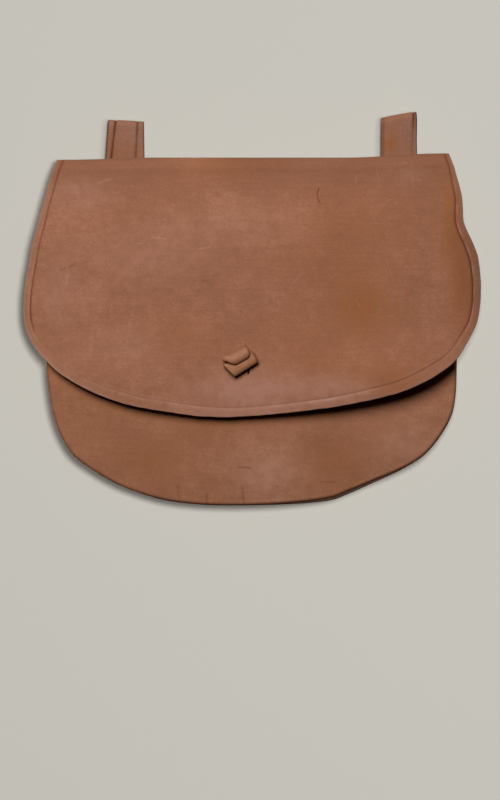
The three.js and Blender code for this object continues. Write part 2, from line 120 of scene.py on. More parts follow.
# Hand-made unevenness: a few crossing waves of about one length, the same in every run.
def unevenness(x, down, length, seed, waves=9):
    random = np.random.default_rng(seed)
    total = 0
    for wave in range(waves):
        angle, phase = random.uniform(0, math.pi), random.uniform(0, 2 * math.pi)
        step = 2 * math.pi / (length * random.uniform(0.7, 1.5))
        total = total + np.sin(step * (x * math.cos(angle) + down * math.sin(angle)) + phase)
    return total / waves


# The ripple of a panel, from waves of several heights and lengths, each with its seed.
def rippleAt(waves, x, down):
    return sum(height * unevenness(x, down, length, seed) for height, length, seed in waves)


# x, down, reach across, reach down, height
frontDents = [
    (87, 163, 20, 20, 0.9),
    (7, 174, 19, 19, 0.9),
    (-58, 172, 24, 24, -1.4),
    (44, 173, 18, 18, -1.2),
]
# small puckers where the front is drawn into its bottom seam
frontPuckers = [
    (-42, 190, 2.6, 7, -0.45),
    (-25.5, 194, 2.2, 6, -0.4),
    (-5, 193, 2.4, 8, -0.45),
    (14, 194, 3.0, 6, -0.3),
    (61, 186, 3.0, 7, -0.35),
    (-74, 180, 3.2, 7, -0.35),
]


def frontHeight(x, down, dented=True):
    left, right = columnAt(bodyShape, "left", down), columnAt(bodyShape, "right", down)
    across = np.abs(x - (right - left) / 2) / np.maximum((left + right) / 2, bag["leastHalf"])
    swell = columnAt(bodyShape, "crown", down) * (1 - across ** bag["crownRound"])
    height = columnAt(bodyShape, "rim", down) + swell
    return height + dentsAt(frontDents, x, down) if dented else height


def backHeight(down):
    return np.maximum(columnAt(bodyShape, "back", down), bag["leather"] / 2)


# A place on the bag, with the slight rise and drop of its fold's ends, in the part's frame.
def spot(x, down, z):
    x, down, z = np.broadcast_arrays(np.asarray(x, float), np.asarray(down, float), np.asarray(z, float))
    side, begin = x / bag["foldHalf"], bag["foldEnds"]
    ends = bag["foldRise"] * smoothStep(side, begin, 1) - bag["foldDrop"] * smoothStep(-side, begin, 1)
    y = bag["foldY"] + ends * (1 - smoothStep(down, 0, bag["foldFade"])) - down
    return np.stack([x, y, z], axis=-1)


# The outline of a shape as evenly spaced points, down the left side, round and up the right side.
def outlineOf(shape, count=6000, perStep=200):
    down = np.array(shape["down"], float)
    left = np.stack([-np.array(shape["left"], float), down], axis=1)
    right = np.stack([np.array(shape["right"], float), down], axis=1)[:-1]
    knots = np.concatenate([left, right[::-1]])
    steps = np.sqrt(np.linalg.norm(np.diff(knots, axis=0), axis=1))[:, None]
    slopes = np.zeros_like(knots)
    runs = np.diff(knots, axis=0) / steps
    slopes[1:-1] = runs[:-1] + runs[1:] - (knots[2:] - knots[:-2]) / (steps[:-1] + steps[1:])
    slopes[0], slopes[-1] = runs[0], runs[-1]
    t = np.linspace(0, 1, perStep, endpoint=False)[None, :, None]
    startSlopes, endSlopes = (steps * slopes[:-1])[:, None], (steps * slopes[1:])[:, None]
    points = cubicBetween(t, knots[:-1, None], startSlopes, knots[1:, None], endSlopes)
    points = np.concatenate([points.reshape(-1, 2), knots[-1:]])
    length = np.concatenate([[0], np.cumsum(np.linalg.norm(np.diff(points, axis=0), axis=1))])
    even = np.linspace(0, length[-1], count)
    return np.stack([np.interp(even, length, points[:, k]) for k in (0, 1)], axis=1)


# How far the front's rim is drawn in, so that the gusset shows low on the right.
def frontTuck(x, down):
    return bag["peekDepth"] * bell(x, bag["peekX"], bag["peekReach"]) * smoothStep(down, *bag["peekDown"])


# The faces between rows of points that lie beside each other.
def facesBetween(rowIndex):
    return [np.stack([a[:-1], b[:-1], b[1:], a[1:]], axis=-1) for a, b in zip(rowIndex[:-1], rowIndex[1:])]


# A panel's net: a grid inside the rim, then bands that follow the rim round its U.
def panelNet(shape, top, corner, inset, tuck=None):
    rows, columns, bands = bag["rows"], bag["columns"], bag["bands"]
    points = outlineOf(shape)
    inside = np.flatnonzero(points[:, 1] >= top)
    turned = np.flatnonzero(points[:, 1] >= corner)
    start, turn, turnBack, end = inside[0], turned[0], turned[-1], inside[-1]
    marks = np.concatenate([
        np.linspace(start, turn, rows, endpoint=False),
        np.linspace(turn, turnBack, columns, endpoint=False),
        np.linspace(turnBack, end, rows + 1),
    ])
    beside = 6  # points of the outline between which its direction is taken
    marks = np.clip(np.round(marks).astype(int), beside, len(points) - beside - 1)
    along = points[marks + beside] - points[marks - beside]
    along /= np.linalg.norm(along, axis=1)[:, None]
    out = np.stack([-along[:, 1], along[:, 0]], axis=1)
    edge = points[marks]
    level = 1 - smoothStep(edge[:, 1], top, top + bag["squareDown"])
    out[:, 0] = out[:, 0] * (1 - level) + np.sign(edge[:, 0]) * level
    out[:, 1] *= 1 - level
    out /= np.linalg.norm(out, axis=1)[:, None]
    if tuck:
        edge = edge - out * tuck(edge[:, 0], edge[:, 1])[:, None]
    rim = edge - out * inset
    last = len(marks) - 1
    v = (np.arange(rows + 1) / rows)[:, None, None]
    u = (np.arange(columns + 1) / columns)[None, :, None]
    left, right = rim[: rows + 1, None], rim[last - np.arange(rows + 1), None]
    low = rim[rows : rows + columns + 1][None]
    topRow = (1 - u) * rim[0] + u * rim[last]
    corners = (1 - v) * topRow + v * ((1 - u) * rim[rows] + u * rim[rows + columns])
    inner = (1 - u) * left + u * right + (1 - v) * topRow + v * low - corners
    cell = np.arange((rows + 1) * (columns + 1)).reshape(rows + 1, columns + 1)
    inside = np.concatenate([cell[:, 0], cell[rows, 1:], cell[rows - 1 :: -1, columns]])
    ladder = [inside] + [cell.size + band * len(marks) + np.arange(len(marks)) for band in range(bands)]
    grid = np.stack([cell[:-1, :-1], cell[1:, :-1], cell[1:, 1:], cell[:-1, 1:]], axis=-1).reshape(-1, 4)
    topEdge = [step[0] for step in ladder[:0:-1]] + list(cell[0]) + [step[last] for step in ladder[1:]]
    return dict(
        inner=inner.reshape(-1, 2), rim=rim, edge=edge, out=out, cell=cell,
        quads=np.concatenate([grid] + facesBetween(ladder)), topEdge=np.array(topEdge),
        round=np.arange(last + 1) / last,
    )


# A rim rolled through an angle: how far out and how far over each band lies.
def rolledRim(band, angle):
    angle = np.maximum(angle, 0.001)  # never quite flat
    radius = bag["rimRound"] * math.pi / 2 / angle
    return radius * np.sin(angle * band), radius * (1 - np.cos(angle * band))


# A short knife cut along one grid column: the two lips part a little and lift.
def openSlit(points, quads, cell, slit):
    net = points[cell]
    row = np.argmin(np.abs(bag["foldY"] - slit["down"] - net[:, cell.shape[1] // 2, 1]))
    column = np.argmin(np.abs(net[row, :, 0] - slit["x"]))
    down = bag["foldY"] - net[:, column, 1]
    part = (down - slit["down"]) / (slit["length"] / 2)
    cut = np.flatnonzero(np.abs(part) < 1)
    shift = slit["x"] - points[cell[cut, column], 0] + slit["lean"] * (down[cut] - slit["down"])
    giving = 5  # the columns up to here are drawn along to the cut
    for beside in range(1 - giving, giving):
        points[cell[cut, column + beside], 0] += shift * (1 - abs(beside) / giving)
    points[cell[cut[0] - 1, column], 0] += shift[0]
    points[cell[cut[-1] + 1, column], 0] += shift[-1]
    bulge = 1 - part[cut] ** 2
    gape = slit["width"] / 2 * np.sqrt(bulge)
    points[cell[cut, column], 2] += slit["lift"] * bulge
    lips = points[cell[cut, column]]
    lips[:, 0] += gape
    for beside, share in ((0, 1), (1, 0.66), (2, 0.33)):
        points[cell[cut, column - beside], 0] -= gape * share
        if beside:
            points[cell[cut, column + beside], 0] += gape * share
    swap = {int(cell[r, column]): len(points) + n for n, r in enumerate(cut)}
    for r in range(cut[0] - 1, cut[-1] + 1):
        q = r * (cell.shape[1] - 1) + column
        quads[q] = [swap.get(int(v), v) for v in quads[q]]
    return np.concatenate([points, lips]), quads


# A mesh from millimetres, with painted-on values.
def drawnMesh(name, points, edges, quads, paint):
    mesh = bpy.data.meshes.new(name)
    mesh.from_pydata((np.asarray(points) * mm).tolist(), edges, np.asarray(quads).tolist())
    for attribute, values in paint.items():
        values = np.asarray(values, np.float32)
        kind, field = ("FLOAT", "value") if values.ndim == 1 else ("FLOAT_VECTOR", "vector")
        mesh.attributes.new(attribute, kind, "POINT").data.foreach_set(field, values.ravel())
    piece = bpy.data.objects.new(name, mesh)
    scene.collection.objects.link(piece)
    return piece


# A drawn piece gets its wall thickness, softened edges, leather and place in the part.
def finishPiece(piece, thickness, soften, material, replaced):
    wall = piece.modifiers.new("wall", "SOLIDIFY")
    wall.thickness = thickness * mm
    wall.offset = 0
    edge = piece.modifiers.new("softenedEdge", "BEVEL")
    edge.width = soften * mm
    edge.segments = bag["softSteps"]
    edge.limit_method = "ANGLE"
    edge.angle_limit = bag["sharpFrom"]
    edge.use_clamp_overlap = False
    finished = bpy.data.meshes.new_from_object(piece.evaluated_get(bpy.context.evaluated_depsgraph_get()))
    piece.modifiers.clear()
    piece.data = finished
    finished.name = piece.name
    finished.materials.clear()
    finished.materials.append(material)
    finished.polygons.foreach_set("use_smooth", np.ones(len(finished.polygons), bool))
    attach(piece, "root")
    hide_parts(replaced)
    print(piece.name, "has", sum(len(p.vertices) - 2 for p in finished.polygons), "triangles")


# Camera: square on from above, as far off as a long lens stands.
photoView = dict(
    pixel=0.57, rows=800, x=-1.1, down=138.5, focusHeight=32.0, lens=800.0, sensor=36.0,
    clipEnd=40.0,  # in metres
)
cameraData = bpy.data.cameras.new("photoCamera")
cameraData.sensor_fit = "VERTICAL"
cameraData.sensor_height = photoView["sensor"]
cameraData.lens = photoView["lens"]
cameraData.clip_end = photoView["clipEnd"]
camera = bpy.data.objects.new("photoCamera", cameraData)
seenHigh = photoView["rows"] * photoView["pixel"]
standOff = photoView["focusHeight"] + seenHigh * photoView["lens"] / photoView["sensor"]
camera.location = (photoView["x"] * mm, (bag["foldY"] - photoView["down"]) * mm, standOff * mm)
scene.collection.objects.link(camera)
scene.camera = camera


def linear(hexColour):
    parts = [int(hexColour[k : k + 2], 16) / 255 for k in (1, 3, 5)]
    return tuple(p / 12.92 if p <= 0.04045 else ((p + 0.055) / 1.055) ** 2.4 for p in parts) + (1,)


# Inputs go by name or in order. Each is a value, a socket or a node, which stands for its first output.
def addNode(tree, kind, inputs, **settings):
    node = tree.nodes.new(kind)
    for key, value in settings.items():
        setattr(node, key, value)
    for key, value in inputs.items() if isinstance(inputs, dict) else enumerate(inputs):
        if isinstance(value, bpy.types.Node):
            value = value.outputs[0]
        if isinstance(value, bpy.types.NodeSocket):
            tree.links.new(value, node.inputs[key])
        else:
            node.inputs[key].default_value = value
    return node


# Sizes in the leather, in millimetres. Its nap is 0.2 mm long and drawn larger, so that it shows.
grainSizes = dict(
    cloud=34.0, mottle=6.0, nap=1.1, streakLong=18.0, streakWide=1.7,
    scratchLong=9.0, scratchWide=1.3, scratchDeep=20.0, mottleBump=0.6, napBump=0.3,
)


# Oiled nubuck: cowhide sanded on its grain side and greased. It gives the eye a matte, cloudy brown with
# a short nap, warmer and darker where the grease gathers, paler where it was rubbed and scratched, and
# it carries painted shade and painted highlights as well.
def oiledNubuck(name, tones, marks=()):
    material = bpy.data.materials.new(name)
    material.use_nodes = True
    tree = material.node_tree
    tree.nodes.clear()
    sizes = {key: size * mm for key, size in grainSizes.items()}
    place = addNode(tree, "ShaderNodeTexCoord", {}).outputs["Object"]
    noise = {}
    for layer, detail, roughness in (("cloud", 3, 0.5), ("mottle", 5, 0.62), ("nap", 2, 0.6)):
        noise[layer] = addNode(
            tree, "ShaderNodeTexNoise",
            {"Vector": place, "Scale": 1 / sizes[layer], "Detail": detail, "Roughness": roughness},
        )
    # strap leather was brushed along its length, the panels across
    brushing = tuple(1 / sizes["streakLong" if axis == tones["grain"] else "streakWide"] for axis in "xyz")
    brushed = addNode(tree, "ShaderNodeMapping", {"Vector": place, "Scale": brushing})
    noise["streak"] = addNode(tree, "ShaderNodeTexNoise", {"Vector": brushed, "Scale": 1, "Detail": 3})
    mixed = addNode(
        tree, "ShaderNodeMath",
        (noise["nap"], tones["nap"], 0.5 - tones["nap"] / 2), operation="MULTIPLY_ADD",
    )
    for layer in ("streak", "mottle", "cloud"):
        off = addNode(tree, "ShaderNodeMath", (noise[layer], 0.5), operation="SUBTRACT")
        mixed = addNode(tree, "ShaderNodeMath", (off, tones[layer], mixed), operation="MULTIPLY_ADD")
    ramp = addNode(tree, "ShaderNodeValToRGB", {"Fac": mixed})
    stops = ramp.color_ramp.elements
    stops[0].position, stops[0].color = 0.2, linear(tones["dark"])
    stops[1].position, stops[1].color = 0.8, linear(tones["pale"])
    stops.new(0.5).color = linear(tones["mid"])
    # painted-on values, some of them broken up by the mottling, and the tone that each gives; besides grease,
    # wear and creases they carry painted shade and painted highlights
    layers = []
    patchy = addNode(
        tree, "ShaderNodeMapRange",
        {"Value": noise["mottle"], "From Min": 0.3, "From Max": 0.7, "To Min": 0.55, "To Max": 1.3},
    )
    for painted, tone, broken in (
        ("handledAndShade", "handledAndShade", True), ("greasyAndShaded", "greaseAndShade", True), ("scuffedAndLit", "worn", True),
        ("burnishAndShade", "burntAndShade", False), ("rubbedAndLit", "freshAndLit", False), ("rawEdgeAndShadow", "rawAndShadow", False),
    ):
        amount = addNode(tree, "ShaderNodeAttribute", {}, attribute_name=painted).outputs["Fac"]
        if broken:
            amount = addNode(
                tree, "ShaderNodeMath", (amount, patchy), operation="MULTIPLY", use_clamp=True
            )
        layers.append((amount, tone))
    # faint crossing scratches, drawn 0.5 mm wide and about a centimetre long
    scratching = tuple(1 / sizes["scratch" + way] for way in ("Long", "Wide", "Deep"))
    for turn, threshold in ((0.12, 0.68), (-0.8, 0.72), (1.3, 0.72)):
        turned = addNode(
            tree, "ShaderNodeVectorRotate", {"Vector": place, "Angle": turn}, rotation_type="Z_AXIS"
        )
        drawn = addNode(tree, "ShaderNodeMapping", {"Vector": turned, "Scale": scratching})
        line = addNode(tree, "ShaderNodeTexNoise", {"Vector": drawn, "Scale": 1, "Detail": 2})
        limits = {"From Min": threshold, "From Max": threshold + 0.12, "To Max": tones["scratch"]}
        layers.append((addNode(tree, "ShaderNodeMapRange", {"Value": line, **limits}), "freshAndLit"))
    # single strokes that stand out, each from its two ends
    if marks:
        flat = addNode(tree, "ShaderNodeMapping", {"Vector": place, "Scale": (1, 1, 0)})
    for x0, down0, x1, down1, width, strength, tone in marks:
        start = np.array([x0, bag["foldY"] - down0, 0]) * mm
        span = np.array([x1 - x0, down0 - down1, 0]) * mm
        offset = addNode(tree, "ShaderNodeVectorMath", (flat, start), operation="SUBTRACT")
        along = (offset, span / (span @ span))
        share = addNode(tree, "ShaderNodeVectorMath", along, operation="DOT_PRODUCT").outputs["Value"]
        held = addNode(tree, "ShaderNodeClamp", {"Value": share})
        nearest = addNode(tree, "ShaderNodeVectorMath", {0: span, "Scale": held}, operation="SCALE")
        away = addNode(tree, "ShaderNodeVectorMath", (offset, nearest), operation="DISTANCE")
        limits = {"From Min": width * mm, "From Max": 0, "To Max": strength}
        stroke = addNode(
            tree, "ShaderNodeMapRange",
            {"Value": away.outputs["Value"], **limits}, interpolation_type="SMOOTHSTEP",
        )
        layers.append((stroke, tone))
    colour = ramp.outputs["Color"]
    for amount, tone in layers:
        toned = {0: amount, 6: colour, 7: linear(tones[tone])}
        colour = addNode(tree, "ShaderNodeMix", toned, data_type="RGBA").outputs[2]
    gloss = addNode(tree, "ShaderNodeMapRange", {"Value": noise["mottle"], "To Min": 0.7, "To Max": 0.9})
    normal = addNode(
        tree, "ShaderNodeBump", {"Height": noise["mottle"], "Strength": 0.3, "Distance": sizes["mottleBump"]}
    )
    normal = addNode(
        tree, "ShaderNodeBump",
        {"Height": noise["nap"], "Strength": 0.3, "Distance": sizes["napBump"], "Normal": normal},
    )
    shader = addNode(
        tree, "ShaderNodeBsdfPrincipled",
        {
            "Base Color": colour, "Roughness": gloss, "Normal": normal, "IOR": 1.45,
            "Specular IOR Level": 0.2, "Sheen Weight": 0.08, "Sheen Roughness": 0.6,
            "Sheen Tint": linear("#c9a58f"),
        },
    )
    addNode(tree, "ShaderNodeOutputMaterial", {"Surface": shader})
    return material


# Tones of the hide. The greasy, handled, burnt and raw tones also colour painted shade, and the fresh tone
# painted highlights.
leatherTones = dict(
    dark="#84543a", mid="#946046", pale="#a67158", greaseAndShade="#8b532a", worn="#a4735f", burntAndShade="#5f2609",
    freshAndLit="#c19786", rawAndShadow="#8c7567", handledAndShade="#744932",
    nap=0.55, streak=0.22, mottle=0.55, cloud=0.55, scratch=0.15, grain="x",
)
# strokes on the flap and the front: both ends (x, down), half width, strength, tone
flapMarks = [
    (38.2, 17.7, 37.1, 20.9, 0.7, 0.6, "burntAndShade"),
    (37.1, 20.9, 38.0, 24.9, 0.7, 0.6, "burntAndShade"),
    (38.0, 24.9, 39.2, 26.6, 0.7, 0.45, "burntAndShade"),
    (-109.0, 64.4, -106.4, 63.6, 0.9, 0.35, "burntAndShade"),
    (-104.2, 62.8, -101.2, 61.6, 0.8, 0.25, "burntAndShade"),
    (-105.8, 72.6, -104.9, 67.6, 0.7, 0.2, "freshAndLit"),
    (-57.0, 45.6, -49.0, 46.7, 0.6, 0.28, "freshAndLit"),
    (-66.1, 49.6, -62.7, 49.0, 0.6, 0.2, "freshAndLit"),
    (-30.2, 52.4, -23.9, 51.3, 0.6, 0.2, "freshAndLit"),
    (-33.6, 38.2, -33.6, 42.2, 0.6, 0.15, "freshAndLit"),
    (-87.8, 14.8, -80.4, 12.3, 0.7, 0.2, "freshAndLit"),
    (22.2, 73.5, 29.1, 65.5, 0.6, 0.14, "freshAndLit"),
    (59.3, 10.8, 59.3, 14.8, 0.8, 0.14, "freshAndLit"),
    (71.2, 6.8, 72.2, 13.7, 0.6, 0.1, "freshAndLit"),
    (90.6, 8.5, 92.3, 17.7, 0.7, 0.08, "freshAndLit"),
]
frontMarks = [
    (-7.6, 176.8, -1.2, 177.2, 1.0, 0.35, "burntAndShade"),
    (38.8, 185.2, 47.3, 185.2, 0.6, 0.35, "burntAndShade"),
    # the last three strokes are painted shade in the hollows of puckers
    (-42.2, 188.0, -41.4, 194.4, 1.5, 0.22, "burntAndShade"),
    (-25.4, 192.4, -25.9, 196.8, 1.4, 0.3, "burntAndShade"),
    (-5.4, 189.0, -4.6, 197.0, 1.4, 0.32, "burntAndShade"),
]
flapLeather = oiledNubuck("oiledNubuckFlap", leatherTones, flapMarks)
# the front is a shade paler, yellower and less greasy; the paleness is painted light that makes up for the
# light its lower slope loses
frontTones = dict(
    leatherTones, dark="#87573c", mid="#976348", pale="#a87459", greaseAndShade="#8d5834", worn="#ac7c66"
)
frontLeather = oiledNubuck("oiledNubuckFront", frontTones, frontMarks)
# the gusset is the darkest hide, the loops greyer and brushed lengthwise, the toggle thin and yellower
gussetTones = dict(leatherTones, dark="#75462e", mid="#835139", pale="#915f47")
gussetLeather = oiledNubuck("oiledNubuckGusset", gussetTones)
loopTones = dict(leatherTones, dark="#835843", mid="#906450", pale="#9d725e", burntAndShade="#451a08", grain="y")
loopLeather = oiledNubuck("oiledNubuckLoop", loopTones)
toggleTones = dict(leatherTones, dark="#8d5c3c", mid="#9d6a4c", pale="#ab7a5d")
toggleLeather = oiledNubuck("oiledNubuckToggle", toggleTones)
print("leathers made")

# Back and flap: one hide, flat behind, folded over the top, the flap cut round and creased along its edge.
flap = dict(
    corner=121.0,
    lift=0.8,  # air between flap and front
    leftLift=0.34, liftAcross=(-25.0, 105.0),  # share of the stand-off on the left, and where it grows
    droopStart=111.0, droopEnd=130.0,
    net=10.0,  # width of the rim's bands
    ripple=((0.22, 34, 3), (0.07, 11, 4)), rippleDown=(8.0, 30.0),  # a wave has height, length and seed
    creaseWidth=0.62, creaseDepth=0.3, creaseDown=(8.0, 16.0),
    creaseSteps=(2.0, 1.3, 0.8, 0.4, 0.0, -0.4, -0.8, -1.3),  # bands on both sides of the crease
    edgeStep=1.0, darkSpread=1.2, edgeSpread=0.9,
    edgeLength=500.0, insetWaves=((0.25, 30, 21),),  # the crease runs unevenly
    wander=0.22, strayWaves=((1.0, 16, 22), (0.6, 6, 23)),  # how far the knife strayed along the edge
    paleShare=0.7, paleWaves=((0.8, 9, 24),),  # how the pale lines, rubbed leather and painted highlight, come and go
    roundedWidth=1.5, roundedDepth=0.1, rawShadowWidth=2.2, rawShadowFall=1.5,  # the cut edge is rounded by use; a grey band runs in from it, the raw cut with painted shadow of the floor's shade
    handledAndShade=0.45, shadedDown=30.0,  # painted shade darkens the fold, which faces the light more than the rest of the flap, but less at one rubbed place
    rubbedX=-32.0, rubbedReach=14.0, rubbedShare=0.8,
    foldSteps=26,
    backBelow=18.0,  # no height on the back reaches this
    slit=dict(x=-2.6, down=116.4, length=15.0, width=2.2, lean=0.1, lift=0.35),
)
# Round the flap's edge, 0 at the fold on the left and 1 on the right: how far in the tooled crease lies,
# how deep and dark it is, how pale the lines inside and outside it and at the edge are (rubbed leather and
# painted highlight), how worn the rim is and how grey its cut is (the raw cut and painted shadow).
flapCrease = dict(
    round=[0, 0.12, 0.178, 0.205, 0.29, 0.38, 0.46, 0.5, 0.56, 0.6, 0.64, 0.68, 0.74, 0.78, 0.82, 0.92, 1],
    inset=[3.8, 4.1, 4.1, 4.4, 5.6, 6.0, 5.6, 5.2, 5.4, 5.6, 6.0, 6.4, 6.4, 5.6, 4.6, 4.9, 2.9],
    depth=[0.7, 1.0, 1.0, 0.2, 0.1, 0.2, 0.3, 0.4, 0.5, 0.6, 0.6, 0.6, 0.7, 0.8, 1.0, 1.0, 0.7],
    dark=[0.6, 0.7, 0.9, 0.05, 0, 0.05, 0.1, 0.1, 0.1, 0.1, 0.25, 0.45, 0.45, 0.35, 0.85, 0.9, 0.6],
    inner=[0.0, 0.0, 0.0, 0.0, 0.1, 0.2, 0.1, 0.15, 0.1, 0.0, 0.1, 0.2, 0.15, 0.1, 0.0, 0.0, 0.0],
    outer=[0.1, 0.35, 0.4, 0.1, 0.1, 0.35, 0.3, 0.25, 0.5, 0.75, 0.45, 0.1, 0.1, 0.15, 0.4, 0.45, 0.15],
    worn=[0.0, 0.0, 0.1, 0.15, 0.2, 0.1, 0.55, 0.6, 0.45, 0.35, 0.2, 0.1, 0.1, 0.1, 0.0, 0.0, 0.0],
    edge=[0.0, 0.0, 0.2, 0.45, 0.45, 0.3, 0.2, 0.2, 0.3, 0.3, 0.2, 0.2, 0.2, 0.1, 0.0, 0.0, 0.0],
    rawAndShadow=[0.6, 0.75, 0.75, 0.5, 0.2, 0.1, 0.1, 0.1, 0.1, 0.1, 0.1, 0.1, 0.15, 0.2, 0.3, 0.4, 0.4],
)
# where the pale lines, rubbed leather and painted highlight, lie off the crease, in crease widths, and how
# wide they are
flapLips = dict(inner=(1.6, 0.7), outer=(-1.5, 0.6))
flapShape = dict(
    down=[7, 25, 38, 47, 58, 80, 95, 106, 116, 124, 133, 140, 145, 148.2],
    left=[114, 119, 122.3, 124.7, 126.7, 130, 129.4, 125.3, 117.5, 108.6, 93, 74.5, 50, 19],
    right=[115, 119.7, 120.6, 124.5, 128.7, 130, 127.8, 122.5, 116, 105.7, 87.8, 60, 27, -19],
    droopLeft=[0.5, 1.5, 2.0, 2.5, 3.0, 3.5, 3.5, 3.0, 2.0, 1.5, 1.0, 0.5, 0.0, 0.0],
    droopRight=[1.0, 5.0, 8.0, 8.0, 7.5, 6.5, 4.5, 3.0, 1.5, 0.5, 0.0, 0.0, 0.0, 0.0],
    lift=[0.0, 0.0, 0.0, 0.0, 0.0, 0.3, 1.5, 3.6, 6.2, 8.4, 9.3, 8.8, 8.2, 7.9],
)
# x, down, reach across, reach down, height or strength
flapDents = [
    (66, 40, 24, 24, 0.9),
    (-70, 62, 30, 30, 0.8),
    (-4, 70, 22, 22, 0.7),
    (84, 66, 16, 16, 1.0),
]
flapGreaseAndShade = [
    (-18, 6, 23, 7, 0.35),
    (64, 84, 18, 20, 0.7),
    (114, 39, 7, 30, 0.7),
    (120, 76, 7, 26, 0.6),
    (78, 126, 22, 10, 0.35),
    (80, 132, 22, 6, 0.45),
    (50, 44, 34, 22, 0.3),
    (-41, 101, 17, 11, 0.25),
    (27, 98, 17, 14, 0.2),
    (42, 121, 23, 11, 0.25),
    # painted shade where the slit's lower end sinks below the toggle
    (-3.2, 124.5, 3.0, 2.2, 0.8),
]
flapScuffed = [
    (-98, 21, 17, 9, 0.5),
    (-109, 76, 10, 22, 0.45),
    (-4, 134, 28, 10, 1.15),
    (-58, 56, 34, 17, 0.35),
    (91, 10, 9, 5, 0.3),
    (-10, 39, 45, 14, 0.2),
    (-75, 110, 23, 11, 0.3),
    (44, 132, 24, 7, 0.75),
]


def flapHeight(x, down):
    over = np.maximum(np.abs(x) - flap["droopStart"], 0) / (flap["droopEnd"] - flap["droopStart"])
    hang = np.where(x < 0, columnAt(flapShape, "droopLeft", down), columnAt(flapShape, "droopRight", down))
    share = flap["leftLift"] + (1 - flap["leftLift"]) * smoothStep(x, *flap["liftAcross"])
    lift = columnAt(flapShape, "lift", down) * share
    base = frontHeight(x, down, False) + bag["leather"] + flap["lift"]
    return base + lift - hang * over**2 + dentsAt(flapDents, x, down)


def flapRipple(x, down):
    return rippleAt(flap["ripple"], x, down) * smoothStep(down, *flap["rippleDown"])


backNet = panelNet(bodyShape, bag["foldDown"], bag["bodyCorner"], rimInset)
flapNet = panelNet(flapShape, bag["foldDown"], flap["corner"], flap["net"])

x, down = backNet["inner"].T
backPoints = [spot(x, down, backHeight(down))]
turned = math.pi / 2 * smoothStep(backNet["edge"][:, 1], bag["foldDown"], bag["gussetDown"])
for band in range(1, bag["bands"] + 1):
    out, over = rolledRim(band / bag["bands"], turned)
    x, down = (backNet["rim"] + backNet["out"] * out[:, None]).T
    backPoints.append(spot(x, down, backHeight(backNet["rim"][:, 1]) + over))
backPoints = np.concatenate(backPoints)

x, down = flapNet["inner"].T
flapPoints = [spot(x, down, flapHeight(x, down) + flapRipple(x, down))]
flapDark, flapPale, flapWorn, flapRawAndShadow = ([np.zeros(len(x))] for layer in range(4))
around = flapNet["round"]
atEdge = around * flap["edgeLength"]
crease = {name: columnAt(flapCrease, name, around) for name in flapCrease if name != "round"}
crease["inset"] = crease["inset"] + rippleAt(flap["insetWaves"], atEdge, 0)
stray = flap["wander"] * rippleAt(flap["strayWaves"], atEdge, 0)
fromEdges = [crease["inset"] + step for step in flap["creaseSteps"]]
fromEdges.append((crease["inset"] - 0.4) / 2)  # about halfway to the edge
fromEdges += [np.full(len(around), flap["edgeStep"]), np.zeros(len(around))]
for fromEdge in fromEdges:
    reach = flap["net"] - fromEdge + stray * (1 - fromEdge / flap["net"])
    x, down = (flapNet["rim"] + flapNet["out"] * reach[:, None]).T
    away = (fromEdge - crease["inset"]) / flap["creaseWidth"]
    begin = smoothStep(down, *flap["creaseDown"])
    sunk = flap["creaseDepth"] * crease["depth"] * bell(away, 0, 1) * begin
    sunk = sunk + flap["roundedDepth"] * (1 - np.clip(fromEdge / flap["roundedWidth"], 0, 1)) * begin
    flapPoints.append(spot(x, down, flapHeight(x, down) + flapRipple(x, down) - sunk))
    flapDark.append(crease["dark"] * bell(away, 0, flap["darkSpread"]))
    # pale lips and edge: rubbed leather and painted highlight
    lips = sum(crease[lip] * bell(away, *flapLips[lip]) for lip in flapLips)
    lips = lips + crease["edge"] * bell(fromEdge, 0, flap["edgeSpread"])
    flapPale.append(lips * (flap["paleShare"] + rippleAt(flap["paleWaves"], atEdge, 0)))
    flapWorn.append(crease["worn"] * smoothStep(-away, -1, 1))
    # the raw cut's grey, deepened as painted shadow where the floor's shade lies beside the edge
    flapRawAndShadow.append(crease["rawAndShadow"] * np.clip(1 - fromEdge / flap["rawShadowWidth"], 0, 1) ** flap["rawShadowFall"])
flapPoints = np.concatenate(flapPoints)

# the fold swings from the back's top row to the flap's
shift = len(backPoints)
fromRow, toRow = backPoints[backNet["topEdge"]], flapPoints[flapNet["topEdge"]]
narrowing = np.where(toRow[:, 0] < 0, fromRow[0, 0] / toRow[0, 0], fromRow[-1, 0] / toRow[-1, 0])
crown = toRow[:, 0] * narrowing
rowIndex, foldPoints = [backNet["topEdge"]], []
for step in range(1, flap["foldSteps"]):
    angle = math.pi * step / flap["foldSteps"]
    row = fromRow + (toRow - fromRow) * (1 - math.cos(angle)) / 2
    near = toRow[:, 0] if angle > math.pi / 2 else fromRow[:, 0]
    row[:, 0] = near + (crown - near) * math.sin(angle)
    row[:, 1] += bag["foldReach"] * math.sin(angle)
    rowIndex.append(shift + len(flapPoints) + len(foldPoints) * len(row) + np.arange(len(row)))
    foldPoints.append(row)
rowIndex.append(flapNet["topEdge"] + shift)
points = np.concatenate([backPoints, flapPoints] + foldPoints)
points, flapQuads = openSlit(points, flapNet["quads"] + shift, flapNet["cell"] + shift, flap["slit"])
quads = np.concatenate([backNet["quads"][:, ::-1], flapQuads] + facesBetween(rowIndex))

